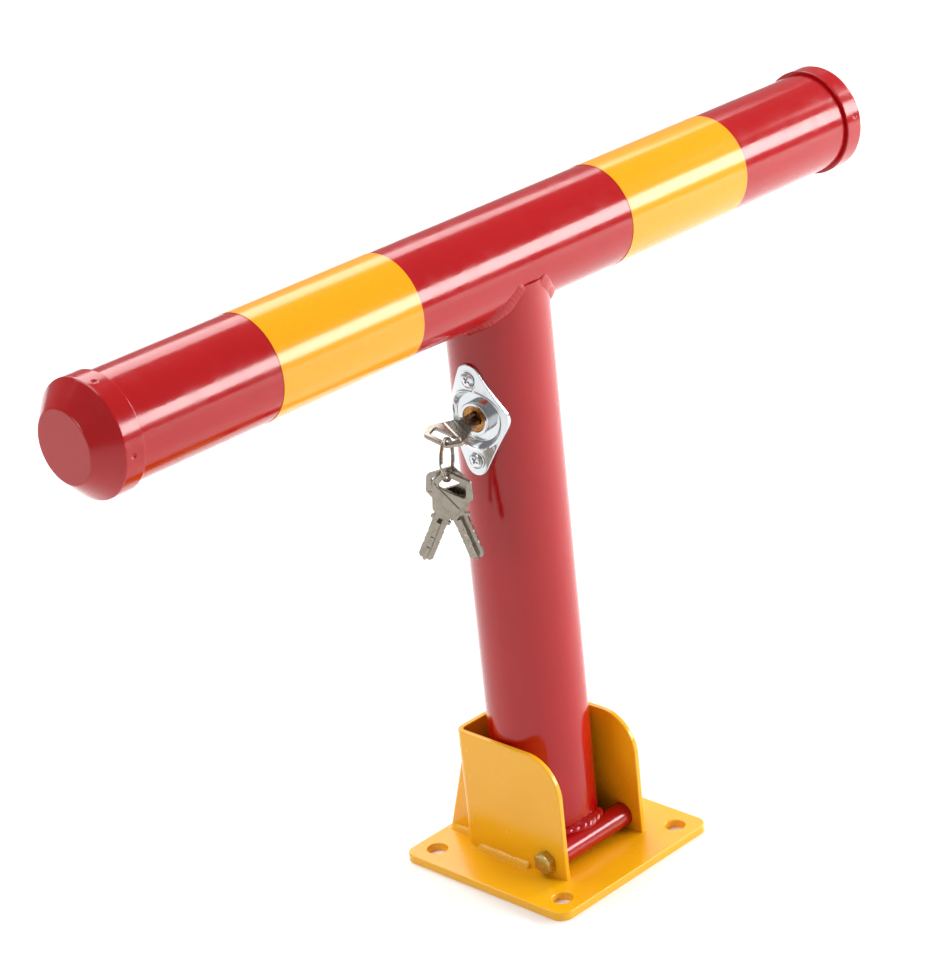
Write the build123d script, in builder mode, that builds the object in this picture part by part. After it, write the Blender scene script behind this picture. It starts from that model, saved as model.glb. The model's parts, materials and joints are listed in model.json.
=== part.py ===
"""Folding parking lock: a T-shaped barrier post on a hinged foot, held up by a key-operated rod.

Frame: millimetres, +Z up.  The origin is the centre of the four-hole bolt pattern on the
underside of the base plate.  The crossbar lies along X and the post folds down towards -Y.
"""
import os
from math import cos, pi, radians, sin, sqrt

from build123d import *

# ---------------------------------------------------------------- driving dimensions
# Base plate
plate_x = 130.0
plate_y = 128.0
plate_t = 5.0
plate_corner_r = 8.0
edge_soft = 0.8
anchor_pitch_x = 100.0
anchor_pitch_y = 100.0
anchor_hole_r = 6.0

# Post and crossbar tubes
post_y = 5.0
post_r = 30.0
post_wall = 2.0
post_foot_z = 8.0
bar_z = 366.0
bar_r = 30.0
bar_wall = 2.0
bar_half_length = 288.0
cope_trim = 8.0

# Pressed end caps
cap_wall = 2.1
cap_skirt_lap = 9.0
cap_shoulder_beyond = 3.5
cap_face_beyond = 15.5
cap_face_r = 20.0
cap_bulge = 0.2
cap_fit = 0.05
stake_inset = 1.4
stake_r = 1.5
stake_depth = 0.8
stake_angle_left = 18.0
stake_angle_right = 78.5
stake_pitch = 79.0

# Reflective bands
band_inner_x = 84.0
band_outer_x = 185.0
band_t = 0.25

# Pivot bracket, gussets and their welds
channel_gap = 1.5
bracket_wall = 3.5
bracket_top_z = 81.0
bracket_reach = 14.0
web_gap = 2.3
bracket_bend_r = 3.0
cheek_corner_r = 24.0
gusset_t = 4.0
gusset_inset = 7.5
gusset_margin = 2.2
gusset_height = 69.0
weld_leg = 4.5
cheek_weld_y = (-10.0, 30.0)

# Pivot
pivot_beyond_post = 1.0
pivot_z = 14.0
pivot_tube_r = 7.5
pivot_bolt_r = 4.0
pivot_running = 0.08
pivot_side_gap = 0.3
cheek_hole_fit = 0.15
hex_flats = 12.0
bolt_head_t = 5.0
nut_t = 6.5
washer_r = 8.0
washer_t = 1.6
bolt_tail = 2.0
pivot_weld_reach = 4.0
pivot_weld_rise = 3.0

# Saddle weld between post and crossbar
saddle_weld_leg = 3.6
saddle_weld_drop = 5.0

# Lock: distances "out" are measured from the post axis along the lock axis
lock_below_bar = 83.0
lock_yaw = 6.0
plate_skin = 1.6
escutcheon_half_height = 33.0
escutcheon_half_width = 20.2
escutcheon_tip_r = 8.0
escutcheon_side_r = 13.0
dish_r = 16.0
dish_depth = 5.0
dish_clear = 0.4
screw_pitch = 24.0
screw_head_r = 4.0
screw_head_t = 1.5
screw_shank_r = 1.9
screw_length = 7.0
nose_r = 9.8
nose_recess = 0.2
body_r = 9.0
body_back_out = 6.0
housing_nut_flats = 26.0
housing_nut_t = 4.0
plug_head_r = 7.6
plug_head_t = 1.6
plug_r = 7.0
plug_running = 0.06
plug_recess = 0.4
plug_shoulder_gap = 0.3
pin_r = 1.1
pin_rows_below_dish = (9.0, 3.0)
pin_cover = 0.8
pin_gap = 0.15

# Lift cam on the back of the plug
cam_t = 3.0
cam_gap = 0.3
cam_r = 24.0
track_low_r = 10.0
lift = 8.0
turn = 90.0
follower_r = 2.5
track_clear = 0.3
drive_r = 4.5
drive_flat = 3.4
cam_screw_r = 2.0
cam_screw_head_r = 3.6
cam_screw_head_t = 2.2

# Lock rod, its guides and its spring
rod_r = 5.0
rod_out = -8.0
rod_engage = 4.5
guide_clear = 0.4
guide_t = 4.0
guide_below_lock = 93.0
keeper_clear = 1.0
collar_below_guide = 40.0
collar_t = 5.0
collar_r = 9.0
collar_pin_r = 1.5
spring_wire_r = 0.8
spring_r = 7.4
spring_turns = 7

# Keys
bow_length = 26.0
bow_width = 25.0
bow_t = 2.2
bow_end_width = 16.0
bow_root_width = 12.0
bow_wide_at = 9.0
rim = 3.2
slot_depth = 7.9
slot_end_half = 6.2
slot_root_half = 8.6
band_from = 13.0
band_width = 5.0
band_raise = 0.3
neck = 4.0
ear_width = 11.8
ear_length = 2.0
blade_length = 25.0
blade_across = 9.0
blade_web = 2.4
keyway_clear = 0.25
bow_end_beyond = 35.1
key_roll = -14.0

# Key ring and where it hangs
ring_outer_r = 12.5
ring_radial = 1.8
ring_axial = 2.2
ring_heading = 29.0
ring_offset = 6.0
ring_play = 0.6
spare_spread = 3.0
spare_play = 0.35
spare_lateral = 4.4
spare_tilt_front = -26.0
spare_tilt_back = 18.0

# ---------------------------------------------------------------- derived places
plate_top = plate_t
cheek_in = post_r + channel_gap
cheek_out = cheek_in + bracket_wall
web_in = post_y + post_r + web_gap
web_out = web_in + bracket_wall
bracket_h = bracket_top_z - plate_top
pivot_y = post_y - post_r - pivot_beyond_post
bracket_front_y = pivot_y - bracket_reach
gusset_x = cheek_in - gusset_inset
gusset_foot = plate_y / 2 - web_out - gusset_margin
cap_skirt_x = bar_half_length - cap_skirt_lap
cap_shoulder_x = bar_half_length + cap_shoulder_beyond
cap_face_x = bar_half_length + cap_face_beyond
stake_x = bar_half_length - stake_inset
lock_z = bar_z - lock_below_bar
dish_depth_out = post_r - dish_depth
nose_out = post_r - nose_recess
plug_face_out = nose_out - plug_recess
pin_rows_out = [dish_depth_out - row for row in pin_rows_below_dish]
upper_guide_z = lock_z - guide_below_lock
collar_z = upper_guide_z - collar_below_guide
bow_end_out = plug_face_out + bow_end_beyond

out_dir = Vector(-cos(radians(lock_yaw)), -sin(radians(lock_yaw)), 0)
side_dir = Vector(sin(radians(lock_yaw)), -cos(radians(lock_yaw)), 0)
post_axis = Axis((0, post_y, 0), (0, 0, 1))
bar_axis = Axis((0, post_y, bar_z), (1, 0, 0))
pivot_axis = Axis((0, pivot_y, pivot_z), (1, 0, 0))

cam_front_out = body_back_out - cam_gap
cam_back_out = cam_front_out - cam_t
track_high_r = track_low_r + lift
rod_x = out_dir.X * rod_out
rod_y = post_y + out_dir.Y * rod_out
rod_tip_z = plate_top - rod_engage + lift
rod_top_z = lock_z + track_high_r + 2 * rod_r
spring_low_z = collar_z + collar_t
spring_high_z = upper_guide_z
dish_out_r = dish_r + plate_skin
key_total = bow_length + neck + blade_length


def level(z):
    """Horizontal plane at height z, centred on the post axis."""
    return Plane(origin=(0, post_y, z))


def across(x, y, z):
    """Plane at x facing +X, with its own Y axis pointing up."""
    return Plane(origin=(x, y, z), x_dir=(0, 1, 0), z_dir=(1, 0, 0))


def lock_face(out, up=0.0):
    """Plane square to the lock axis, facing outwards, a distance out from the post axis."""
    centre = Vector(0, post_y, lock_z + up) + out_dir * out
    return Plane(origin=centre, x_dir=side_dir, z_dir=out_dir)


def save(built, label):
    """Label a finished piece and write it as one STEP file."""
    built.part.label = label
    export_step(built.part, f"parts/{label}.step")


os.makedirs("parts", exist_ok=True)

# ---------------------------------------------------------------- base plate
with BuildPart() as base_plate:
    with BuildSketch(Plane.XY):
        RectangleRounded(plate_x, plate_y, plate_corner_r)
        with GridLocations(anchor_pitch_x, anchor_pitch_y, 2, 2):
            Circle(anchor_hole_r, mode=Mode.SUBTRACT)
        with Locations((rod_x, rod_y)):
            Circle(rod_r + keeper_clear, mode=Mode.SUBTRACT)
    extrude(amount=plate_t)
    fillet(faces().sort_by(Axis.Z)[-1].edges(), edge_soft)
save(base_plate, "base_plate")

# ---------------------------------------------------------------- pivot bracket


def channel_outline(half_width, back_y, bend_r):
    """One U outline of the folded sheet: open at the front, rounded at its two rear bends."""
    with BuildSketch() as outline:
        Polygon(
            (-half_width, bracket_front_y),
            (half_width, bracket_front_y),
            (half_width, back_y),
            (-half_width, back_y),
            align=None,
        )
        fillet(vertices().group_by(Axis.Y)[-1], bend_r)
    return outline.sketch


with BuildPart() as pivot_bracket:
    with BuildSketch(Plane.XY.offset(plate_top)):
        add(channel_outline(cheek_out, web_out, bracket_bend_r + bracket_wall))
        add(channel_outline(cheek_in, web_in, bracket_bend_r), mode=Mode.SUBTRACT)
    extrude(amount=bracket_h)
    with BuildSketch(across(-cheek_out, 0, plate_top)):
        Polygon(
            (bracket_front_y, 0),
            (web_out, 0),
            (web_out, bracket_h),
            (bracket_front_y, bracket_h),
            align=None,
        )
        fillet(vertices().group_by(Axis.Y)[-1].group_by(Axis.X)[0], cheek_corner_r)
    extrude(amount=2 * cheek_out, mode=Mode.INTERSECT)
    # Soften the sheared edges of the sheet: both rims of each cheek and of the web's top.
    sheet_faces = (cheek_in, cheek_out)
    rims = edges().filter_by(lambda e: e.center().Z > bracket_top_z - 0.01)
    rims += edges().filter_by(
        lambda e: any(abs(abs(e.center().X) - x) < 0.01 for x in sheet_faces)
        and plate_top + 0.1 < e.center().Z < bracket_top_z - 0.01
        and e.center().Y < post_y
    )
    fillet(rims, edge_soft)
    with BuildSketch(across(-cheek_out, pivot_y, pivot_z)):
        Circle(pivot_bolt_r + cheek_hole_fit)
    extrude(amount=2 * cheek_out, mode=Mode.SUBTRACT)
save(pivot_bracket, "pivot_bracket")


def gusset(side):
    """Triangular rib behind the web, on one side."""
    with BuildPart() as rib:
        with BuildSketch(across(side * gusset_x - gusset_t / 2, web_out, plate_top)):
            Polygon((0, 0), (gusset_foot, 0), (0, gusset_height), align=None)
        extrude(amount=gusset_t)
        slope = faces().sort_by(Axis.Y)[-1]
        fillet(slope.edges().filter_by(Axis.X, reverse=True), edge_soft)
    return rib


save(gusset(-1), "gusset_left")
save(gusset(1), "gusset_right")


def fillet_bead(start, length, run_dir, out_vec, leg):
    """One fillet weld: a quarter-round run laid in the corner above the plate."""
    with BuildPart() as bead:
        with BuildSketch(Plane(origin=start, x_dir=out_vec, z_dir=run_dir)):
            with BuildLine():
                Line((0, 0), (leg, 0))
                ThreePointArc((leg, 0), (0.6 * leg, 0.6 * leg), (0, leg))
                Line((0, leg), (0, 0))
            make_face()
        extrude(amount=length)
    return bead.part


# Two stitches beside the cheeks, one behind the web, one outside each gusset.
cheek_run = cheek_weld_y[1] - cheek_weld_y[0]
web_run = 2 * (gusset_x - gusset_t / 2) - 4.0
gusset_run = gusset_foot - 2.0
bead_parts = [
    fillet_bead((-cheek_out, cheek_weld_y[0], plate_top), cheek_run, (0, 1, 0), (-1, 0, 0), weld_leg),
    fillet_bead((cheek_out, cheek_weld_y[1], plate_top), cheek_run, (0, -1, 0), (1, 0, 0), weld_leg),
    fillet_bead((-web_run / 2, web_out, plate_top), web_run, (1, 0, 0), (0, 1, 0), weld_leg),
    fillet_bead((-gusset_x - gusset_t / 2, web_out, plate_top), gusset_run, (0, 1, 0), (-1, 0, 0), weld_leg),
    fillet_bead((gusset_x + gusset_t / 2, web_out + gusset_run, plate_top), gusset_run,
                (0, -1, 0), (1, 0, 0), weld_leg),
]
with BuildPart() as bracket_welds:
    add(bead_parts)
save(bracket_welds, "bracket_welds")

# ---------------------------------------------------------------- pivot bolt, washer and nut
nut_x = cheek_out + washer_t
with BuildPart() as pivot_bolt:
    with BuildSketch(across(-cheek_out, pivot_y, pivot_z)):
        Circle(pivot_bolt_r)
    extrude(amount=cheek_out + nut_x + nut_t + bolt_tail)
    chamfer(faces().sort_by(Axis.X)[-1].edges(), 1.0)
    with BuildSketch(across(-cheek_out - bolt_head_t, pivot_y, pivot_z)):
        RegularPolygon(hex_flats / 2, 6, major_radius=False)
    extrude(amount=bolt_head_t)
save(pivot_bolt, "pivot_bolt")

with BuildPart() as pivot_washer:
    with BuildSketch(across(cheek_out, pivot_y, pivot_z)):
        Circle(washer_r)
        Circle(pivot_bolt_r + cheek_hole_fit, mode=Mode.SUBTRACT)
    extrude(amount=washer_t)
save(pivot_washer, "pivot_washer")

with BuildPart() as pivot_nut:
    with BuildSketch(across(nut_x, pivot_y, pivot_z)):
        RegularPolygon(hex_flats / 2, 6, major_radius=False)
        Circle(pivot_bolt_r, mode=Mode.SUBTRACT)
    extrude(amount=nut_t)
save(pivot_nut, "pivot_nut")

# ---------------------------------------------------------------- pivot tube on the post
tube_half = cheek_in - pivot_side_gap
with BuildPart() as pivot_tube:
    with BuildSketch(across(-tube_half, pivot_y, pivot_z)):
        Circle(pivot_tube_r)
        Circle(pivot_bolt_r + pivot_running, mode=Mode.SUBTRACT)
    extrude(amount=2 * tube_half)
save(pivot_tube, "pivot_tube")

# ---------------------------------------------------------------- post tube
with BuildPart() as post_tube:
    with BuildSketch(level(post_foot_z)):
        Circle(post_r)
        Circle(post_r - post_wall, mode=Mode.SUBTRACT)
    extrude(amount=bar_z - cope_trim - post_foot_z)
    with BuildSketch(across(-2 * bar_r, post_y, bar_z)):
        Circle(bar_r)
    extrude(amount=4 * bar_r, mode=Mode.SUBTRACT)
    with BuildSketch(across(-cheek_in, pivot_y, pivot_z)):
        Circle(pivot_tube_r)
    extrude(amount=2 * cheek_in, mode=Mode.SUBTRACT)
    with BuildSketch(lock_face(0)):
        Circle(dish_out_r + dish_clear)
    extrude(amount=2 * post_r, mode=Mode.SUBTRACT)
    with BuildSketch(lock_face(0)):
        with Locations((0, screw_pitch), (0, -screw_pitch)):
            Circle(screw_shank_r)
    extrude(amount=2 * post_r, mode=Mode.SUBTRACT)
save(post_tube, "post_tube")


def guide_disc(z, pivot_cope):
    """Disc welded inside the post that guides the lock rod, coped round the pivot if it must."""
    with BuildPart() as disc:
        with BuildSketch(Plane.XY.offset(z)):
            with Locations((0, post_y)):
                Circle(post_r - post_wall)
            with Locations((rod_x, rod_y)):
                Circle(rod_r + guide_clear, mode=Mode.SUBTRACT)
        extrude(amount=guide_t)
        if pivot_cope:
            with BuildSketch(across(-cheek_in, pivot_y, pivot_z)):
                Circle(pivot_tube_r)
            extrude(amount=2 * cheek_in, mode=Mode.SUBTRACT)
    return disc


save(guide_disc(post_foot_z, True), "post_foot")
save(guide_disc(upper_guide_z, False), "rod_guide")

# Bead over the pivot tube: inside both grown cylinders and outside both real ones.
with BuildPart() as pivot_weld:
    with BuildSketch(level(pivot_z)):
        Circle(post_r + pivot_weld_rise)
        Circle(post_r, mode=Mode.SUBTRACT)
    extrude(amount=2 * pivot_tube_r)
    with BuildSketch(across(-post_r, pivot_y, pivot_z)):
        Circle(pivot_tube_r + pivot_weld_reach)
    extrude(amount=2 * post_r, mode=Mode.INTERSECT)
    with BuildSketch(across(-post_r, pivot_y, pivot_z)):
        Circle(pivot_tube_r)
    extrude(amount=2 * post_r, mode=Mode.SUBTRACT)
save(pivot_weld, "pivot_weld")

# ---------------------------------------------------------------- crossbar
with BuildPart() as crossbar_tube:
    with BuildSketch(across(-bar_half_length, post_y, bar_z)):
        Circle(bar_r)
        Circle(bar_r - bar_wall, mode=Mode.SUBTRACT)
    extrude(amount=2 * bar_half_length)
save(crossbar_tube, "crossbar_tube")

with BuildPart() as crossbar_weld:
    with BuildSketch(level(bar_z - bar_r - 2 * saddle_weld_leg)):
        Circle(post_r + saddle_weld_leg)
        Circle(post_r, mode=Mode.SUBTRACT)
    extrude(amount=bar_r + 2 * saddle_weld_leg - saddle_weld_drop)
    with BuildSketch(across(-2 * bar_r, post_y, bar_z)):
        Circle(bar_r + saddle_weld_leg)
    extrude(amount=4 * bar_r, mode=Mode.INTERSECT)
    with BuildSketch(across(-2 * bar_r, post_y, bar_z)):
        Circle(bar_r)
    extrude(amount=4 * bar_r, mode=Mode.SUBTRACT)
save(crossbar_weld, "crossbar_weld")


def band(side):
    """Reflective sleeve on one arm of the crossbar."""
    start = band_inner_x if side > 0 else -band_outer_x
    with BuildPart() as sleeve:
        with BuildSketch(across(start, post_y, bar_z)):
            Circle(bar_r + band_t)
            Circle(bar_r, mode=Mode.SUBTRACT)
        extrude(amount=band_outer_x - band_inner_x)
    return sleeve


save(band(-1), "reflective_band_left")
save(band(1), "reflective_band_right")


def end_cap(side, stake_angle):
    """Pressed cup over one end of the crossbar, staked to it at four points."""
    inner_r = bar_r + cap_fit
    outer_r = inner_r + cap_wall
    profile_plane = Plane(origin=(0, post_y, bar_z), x_dir=(side, 0, 0), z_dir=(0, -side, 0))
    mid_x = (cap_shoulder_x + cap_face_x) / 2
    mid_r = (outer_r + cap_face_r) / 2
    with BuildPart() as cap:
        with BuildSketch(profile_plane):
            with BuildLine():
                Line((cap_skirt_x, inner_r), (cap_skirt_x, outer_r))
                Line((cap_skirt_x, outer_r), (cap_shoulder_x, outer_r))
                ThreePointArc(
                    (cap_shoulder_x, outer_r),
                    (mid_x + cap_bulge, mid_r + cap_bulge),
                    (cap_face_x, cap_face_r),
                )
                Line((cap_face_x, cap_face_r), (cap_face_x, 0))
                Line((cap_face_x, 0), (cap_face_x - cap_wall, 0))
                Line((cap_face_x - cap_wall, 0), (cap_face_x - cap_wall, cap_face_r - 1))
                ThreePointArc(
                    (cap_face_x - cap_wall, cap_face_r - 1),
                    (mid_x + cap_bulge - 0.8 * cap_wall, mid_r + cap_bulge - 0.8 * cap_wall),
                    (cap_shoulder_x - 1, inner_r),
                )
                Line((cap_shoulder_x - 1, inner_r), (cap_skirt_x, inner_r))
            make_face()
        revolve(axis=bar_axis, revolution_arc=360)
        for quarter in range(4):
            angle = radians(stake_angle + stake_pitch * quarter)
            tip = Vector(side * stake_x, post_y - outer_r * sin(angle), bar_z + outer_r * cos(angle))
            inward = Vector(0, sin(angle), -cos(angle))
            with BuildSketch(Plane(origin=tip, x_dir=(1, 0, 0), z_dir=inward)):
                Circle(stake_r)
            extrude(amount=stake_depth, taper=30, mode=Mode.SUBTRACT)
    return cap


save(end_cap(-1, stake_angle_left), "end_cap_left")
save(end_cap(1, stake_angle_right), "end_cap_right")

# ---------------------------------------------------------------- lock escutcheon and screws
skin_r = post_r + plate_skin
with BuildPart() as lock_escutcheon:
    with BuildSketch(level(lock_z - escutcheon_half_height)):
        Circle(skin_r)
        Circle(post_r, mode=Mode.SUBTRACT)
    extrude(amount=2 * escutcheon_half_height)
    with BuildSketch(lock_face(0)):
        tip_up = escutcheon_half_height - escutcheon_tip_r
        wing = escutcheon_half_width - escutcheon_side_r
        with Locations((0, tip_up), (0, -tip_up)):
            Circle(escutcheon_tip_r)
        with Locations((wing, 0), (-wing, 0)):
            Circle(escutcheon_side_r)
        make_hull()
    extrude(amount=2 * post_r, mode=Mode.INTERSECT)
    with BuildSketch(lock_face(0)):
        Circle(dish_out_r)
    extrude(amount=2 * post_r, mode=Mode.SUBTRACT)
    with BuildSketch(lock_face(dish_depth_out - plate_skin)):
        Circle(dish_out_r)
        Circle(body_r + cheek_hole_fit, mode=Mode.SUBTRACT)
    extrude(amount=plate_skin)
    # The dish wall rises from the dish floor and is trimmed to the curve of the plate.
    with BuildSketch(lock_face(dish_depth_out)):
        Circle(dish_out_r)
        Circle(dish_r, mode=Mode.SUBTRACT)
    dish_wall = extrude(amount=skin_r - dish_depth_out, mode=Mode.PRIVATE)
    with BuildSketch(level(lock_z - 2 * dish_out_r), mode=Mode.PRIVATE) as skin_disc:
        Circle(skin_r)
    skin_core = extrude(skin_disc.sketch, amount=4 * dish_out_r, mode=Mode.PRIVATE)
    add(dish_wall.intersect(skin_core))
    with BuildSketch(lock_face(0)):
        with Locations((0, screw_pitch), (0, -screw_pitch)):
            Circle(screw_shank_r + cheek_hole_fit)
    extrude(amount=2 * post_r, mode=Mode.SUBTRACT)
save(lock_escutcheon, "lock_escutcheon")

with BuildPart() as escutcheon_screws:
    for up in (screw_pitch, -screw_pitch):
        with BuildSketch(lock_face(skin_r, up)):
            Circle(screw_head_r)
        extrude(amount=screw_head_t, taper=20)
        with BuildSketch(lock_face(skin_r - screw_length, up)):
            Circle(screw_shank_r)
        extrude(amount=screw_length)
        with BuildSketch(lock_face(skin_r + screw_head_t - 1.0, up)):
            Rectangle(screw_head_r, 0.9, rotation=45)
            Rectangle(screw_head_r, 0.9, rotation=-45)
        extrude(amount=2.0, mode=Mode.SUBTRACT)
save(escutcheon_screws, "escutcheon_screws")

# ---------------------------------------------------------------- lock housing, nut and plug


def pin_seats(start):
    """Planes square to each lock pin, a start distance from the lock axis."""
    seats = []
    for row in pin_rows_out:
        for quarter in range(4):
            angle = radians(90 * quarter + key_roll)
            ray = side_dir * cos(angle) + Vector(0, 0, 1) * sin(angle)
            seats.append(Plane(origin=lock_face(row).origin + ray * start, x_dir=out_dir, z_dir=ray))
    return seats


bore_r = plug_r + plug_running
mouth_r = plug_head_r + plug_running
mouth_out = plug_face_out - plug_head_t - plug_shoulder_gap
with BuildPart() as lock_housing:
    with BuildSketch(lock_face(body_back_out)):
        Circle(body_r)
    extrude(amount=dish_depth_out - body_back_out)
    with BuildSketch(lock_face(dish_depth_out)):
        Circle(nose_r)
    extrude(amount=nose_out - dish_depth_out)
    chamfer(faces().sort_by(Axis(lock_face(0).origin, out_dir))[-1].edges(), 0.5)
    with BuildSketch(lock_face(body_back_out)):
        Circle(bore_r)
    extrude(amount=nose_out - body_back_out, mode=Mode.SUBTRACT)
    with BuildSketch(lock_face(mouth_out)):
        Circle(mouth_r)
    extrude(amount=nose_out - mouth_out, mode=Mode.SUBTRACT)
    for seat in pin_seats(0):
        with BuildSketch(seat):
            Circle(pin_r)
        extrude(amount=body_r - pin_cover, mode=Mode.SUBTRACT)
save(lock_housing, "lock_housing")

with BuildPart() as housing_nut:
    with BuildSketch(lock_face(dish_depth_out - plate_skin - housing_nut_t)):
        RegularPolygon(housing_nut_flats / 2, 6, major_radius=False)
        Circle(body_r, mode=Mode.SUBTRACT)
    extrude(amount=housing_nut_t)
save(housing_nut, "housing_nut")


def pin_set(inner, outer):
    """Eight radial lock pins, four round the plug in each of two rows."""
    with BuildPart() as pins:
        for seat in pin_seats(inner):
            with BuildSketch(seat):
                Circle(pin_r)
            extrude(amount=outer - inner)
    return pins


key_pin_in = blade_across / 2 + keyway_clear
save(pin_set(key_pin_in, plug_r - pin_gap), "key_pins")
save(pin_set(bore_r + pin_gap, body_r - pin_cover), "driver_pins")

keyway_across = blade_across + 2 * keyway_clear
keyway_web = blade_web + 2 * keyway_clear
blade_tip_out = bow_end_out - key_total
with BuildPart() as lock_plug:
    with BuildSketch(lock_face(body_back_out)):
        Circle(plug_r)
    extrude(amount=plug_face_out - body_back_out)
    with BuildSketch(lock_face(plug_face_out - plug_head_t)):
        Circle(plug_head_r)
    extrude(amount=plug_head_t)
    with BuildSketch(lock_face(cam_back_out)):
        Circle(drive_r)
        Rectangle(2 * drive_r, 2 * drive_flat, mode=Mode.INTERSECT)
        Circle(cam_screw_r, mode=Mode.SUBTRACT)
    extrude(amount=body_back_out - cam_back_out)
    with BuildSketch(lock_face(blade_tip_out - 1.0)):
        Rectangle(keyway_across, keyway_web, rotation=key_roll)
        Rectangle(keyway_web, keyway_across, rotation=key_roll)
    extrude(amount=plug_face_out, mode=Mode.SUBTRACT)
    for seat in pin_seats(0):
        with BuildSketch(seat):
            Circle(pin_r)
        extrude(amount=plug_r, mode=Mode.SUBTRACT)
save(lock_plug, "lock_plug")


def track_edge(offset_by, steps=12):
    """Points beside the cam's spiral track, moved along its normal by offset_by.

    The track's centre line is an Archimedean spiral: its radius falls evenly from the high
    radius to the low radius while the angle turns through a quarter.
    """
    points = []
    for i in range(steps + 1):
        part_turn = i / steps
        radius = track_high_r - lift * part_turn
        angle = radians(90 - turn * part_turn)
        along = Vector(radius * sin(angle), -radius * cos(angle), 0) * radians(turn)
        fall = Vector(cos(angle), sin(angle), 0) * -lift
        tangent = (along + fall).normalized()
        normal = Vector(-tangent.Y, tangent.X, 0)
        centre = Vector(radius * cos(angle), radius * sin(angle), 0)
        points.append(centre + normal * offset_by)
    return points


track_half = follower_r + track_clear
with BuildPart() as lock_cam:
    with BuildSketch(lock_face(cam_back_out)):
        Circle(cam_r)
        with BuildSketch(mode=Mode.SUBTRACT):
            Circle(drive_r)
            Rectangle(2 * drive_r, 2 * drive_flat, mode=Mode.INTERSECT)
        with BuildSketch(mode=Mode.SUBTRACT):
            outer_edge = track_edge(track_half)
            inner_edge = track_edge(-track_half)
            with BuildLine():
                Spline(*outer_edge)
                Line(outer_edge[-1], inner_edge[-1])
                Spline(*inner_edge)
                Line(inner_edge[0], outer_edge[0])
            make_face()
            with Locations((0, track_high_r), (track_low_r, 0)):
                Circle(track_half)
    extrude(amount=cam_t)
save(lock_cam, "lock_cam")

with BuildPart() as cam_screw:
    with BuildSketch(lock_face(cam_back_out - cam_screw_head_t)):
        Circle(cam_screw_head_r)
    extrude(amount=cam_screw_head_t)
    with BuildSketch(lock_face(cam_back_out)):
        Circle(cam_screw_r)
    extrude(amount=body_back_out - cam_back_out - 0.5)
save(cam_screw, "cam_screw")

# ---------------------------------------------------------------- lock rod, pin, collar, spring
with BuildPart() as lock_rod:
    with BuildSketch(Plane.XY.offset(rod_tip_z)):
        with Locations((rod_x, rod_y)):
            Circle(rod_r)
    extrude(amount=rod_top_z - rod_tip_z)
    chamfer(edges().group_by(Axis.Z)[0], 1.0)
    with BuildSketch(lock_face(rod_out - 2 * rod_r, track_high_r)):
        Circle(follower_r)
    extrude(amount=4 * rod_r, mode=Mode.SUBTRACT)
    with BuildSketch(across(rod_x - collar_r, rod_y, collar_z + collar_t / 2)):
        Circle(collar_pin_r)
    extrude(amount=2 * collar_r, mode=Mode.SUBTRACT)
save(lock_rod, "lock_rod")

with BuildPart() as follower_pin:
    with BuildSketch(lock_face(rod_out - rod_r, track_high_r)):
        Circle(follower_r)
    extrude(amount=cam_front_out - 0.5 - (rod_out - rod_r))
save(follower_pin, "follower_pin")

with BuildPart() as spring_collar:
    with BuildSketch(Plane.XY.offset(collar_z)):
        with Locations((rod_x, rod_y)):
            Circle(collar_r)
            Circle(rod_r, mode=Mode.SUBTRACT)
    extrude(amount=collar_t)
    with BuildSketch(across(rod_x - collar_r, rod_y, collar_z + collar_t / 2)):
        Circle(collar_pin_r)
    extrude(amount=2 * collar_r, mode=Mode.SUBTRACT)
save(spring_collar, "spring_collar")

with BuildPart() as collar_pin:
    with BuildSketch(across(rod_x - collar_r, rod_y, collar_z + collar_t / 2)):
        Circle(collar_pin_r)
    extrude(amount=2 * collar_r)
save(collar_pin, "collar_pin")

coil_h = spring_high_z - spring_low_z - 2 * spring_wire_r
with BuildPart() as rod_spring:
    with BuildLine():
        coil = Helix(pitch=coil_h / spring_turns, height=coil_h, radius=spring_r,
                     center=(rod_x, rod_y, spring_low_z + spring_wire_r))
    with BuildSketch(Plane(origin=coil @ 0, z_dir=coil % 0)):
        Circle(spring_wire_r)
    sweep(is_frenet=True)
save(rod_spring, "rod_spring")


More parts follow.
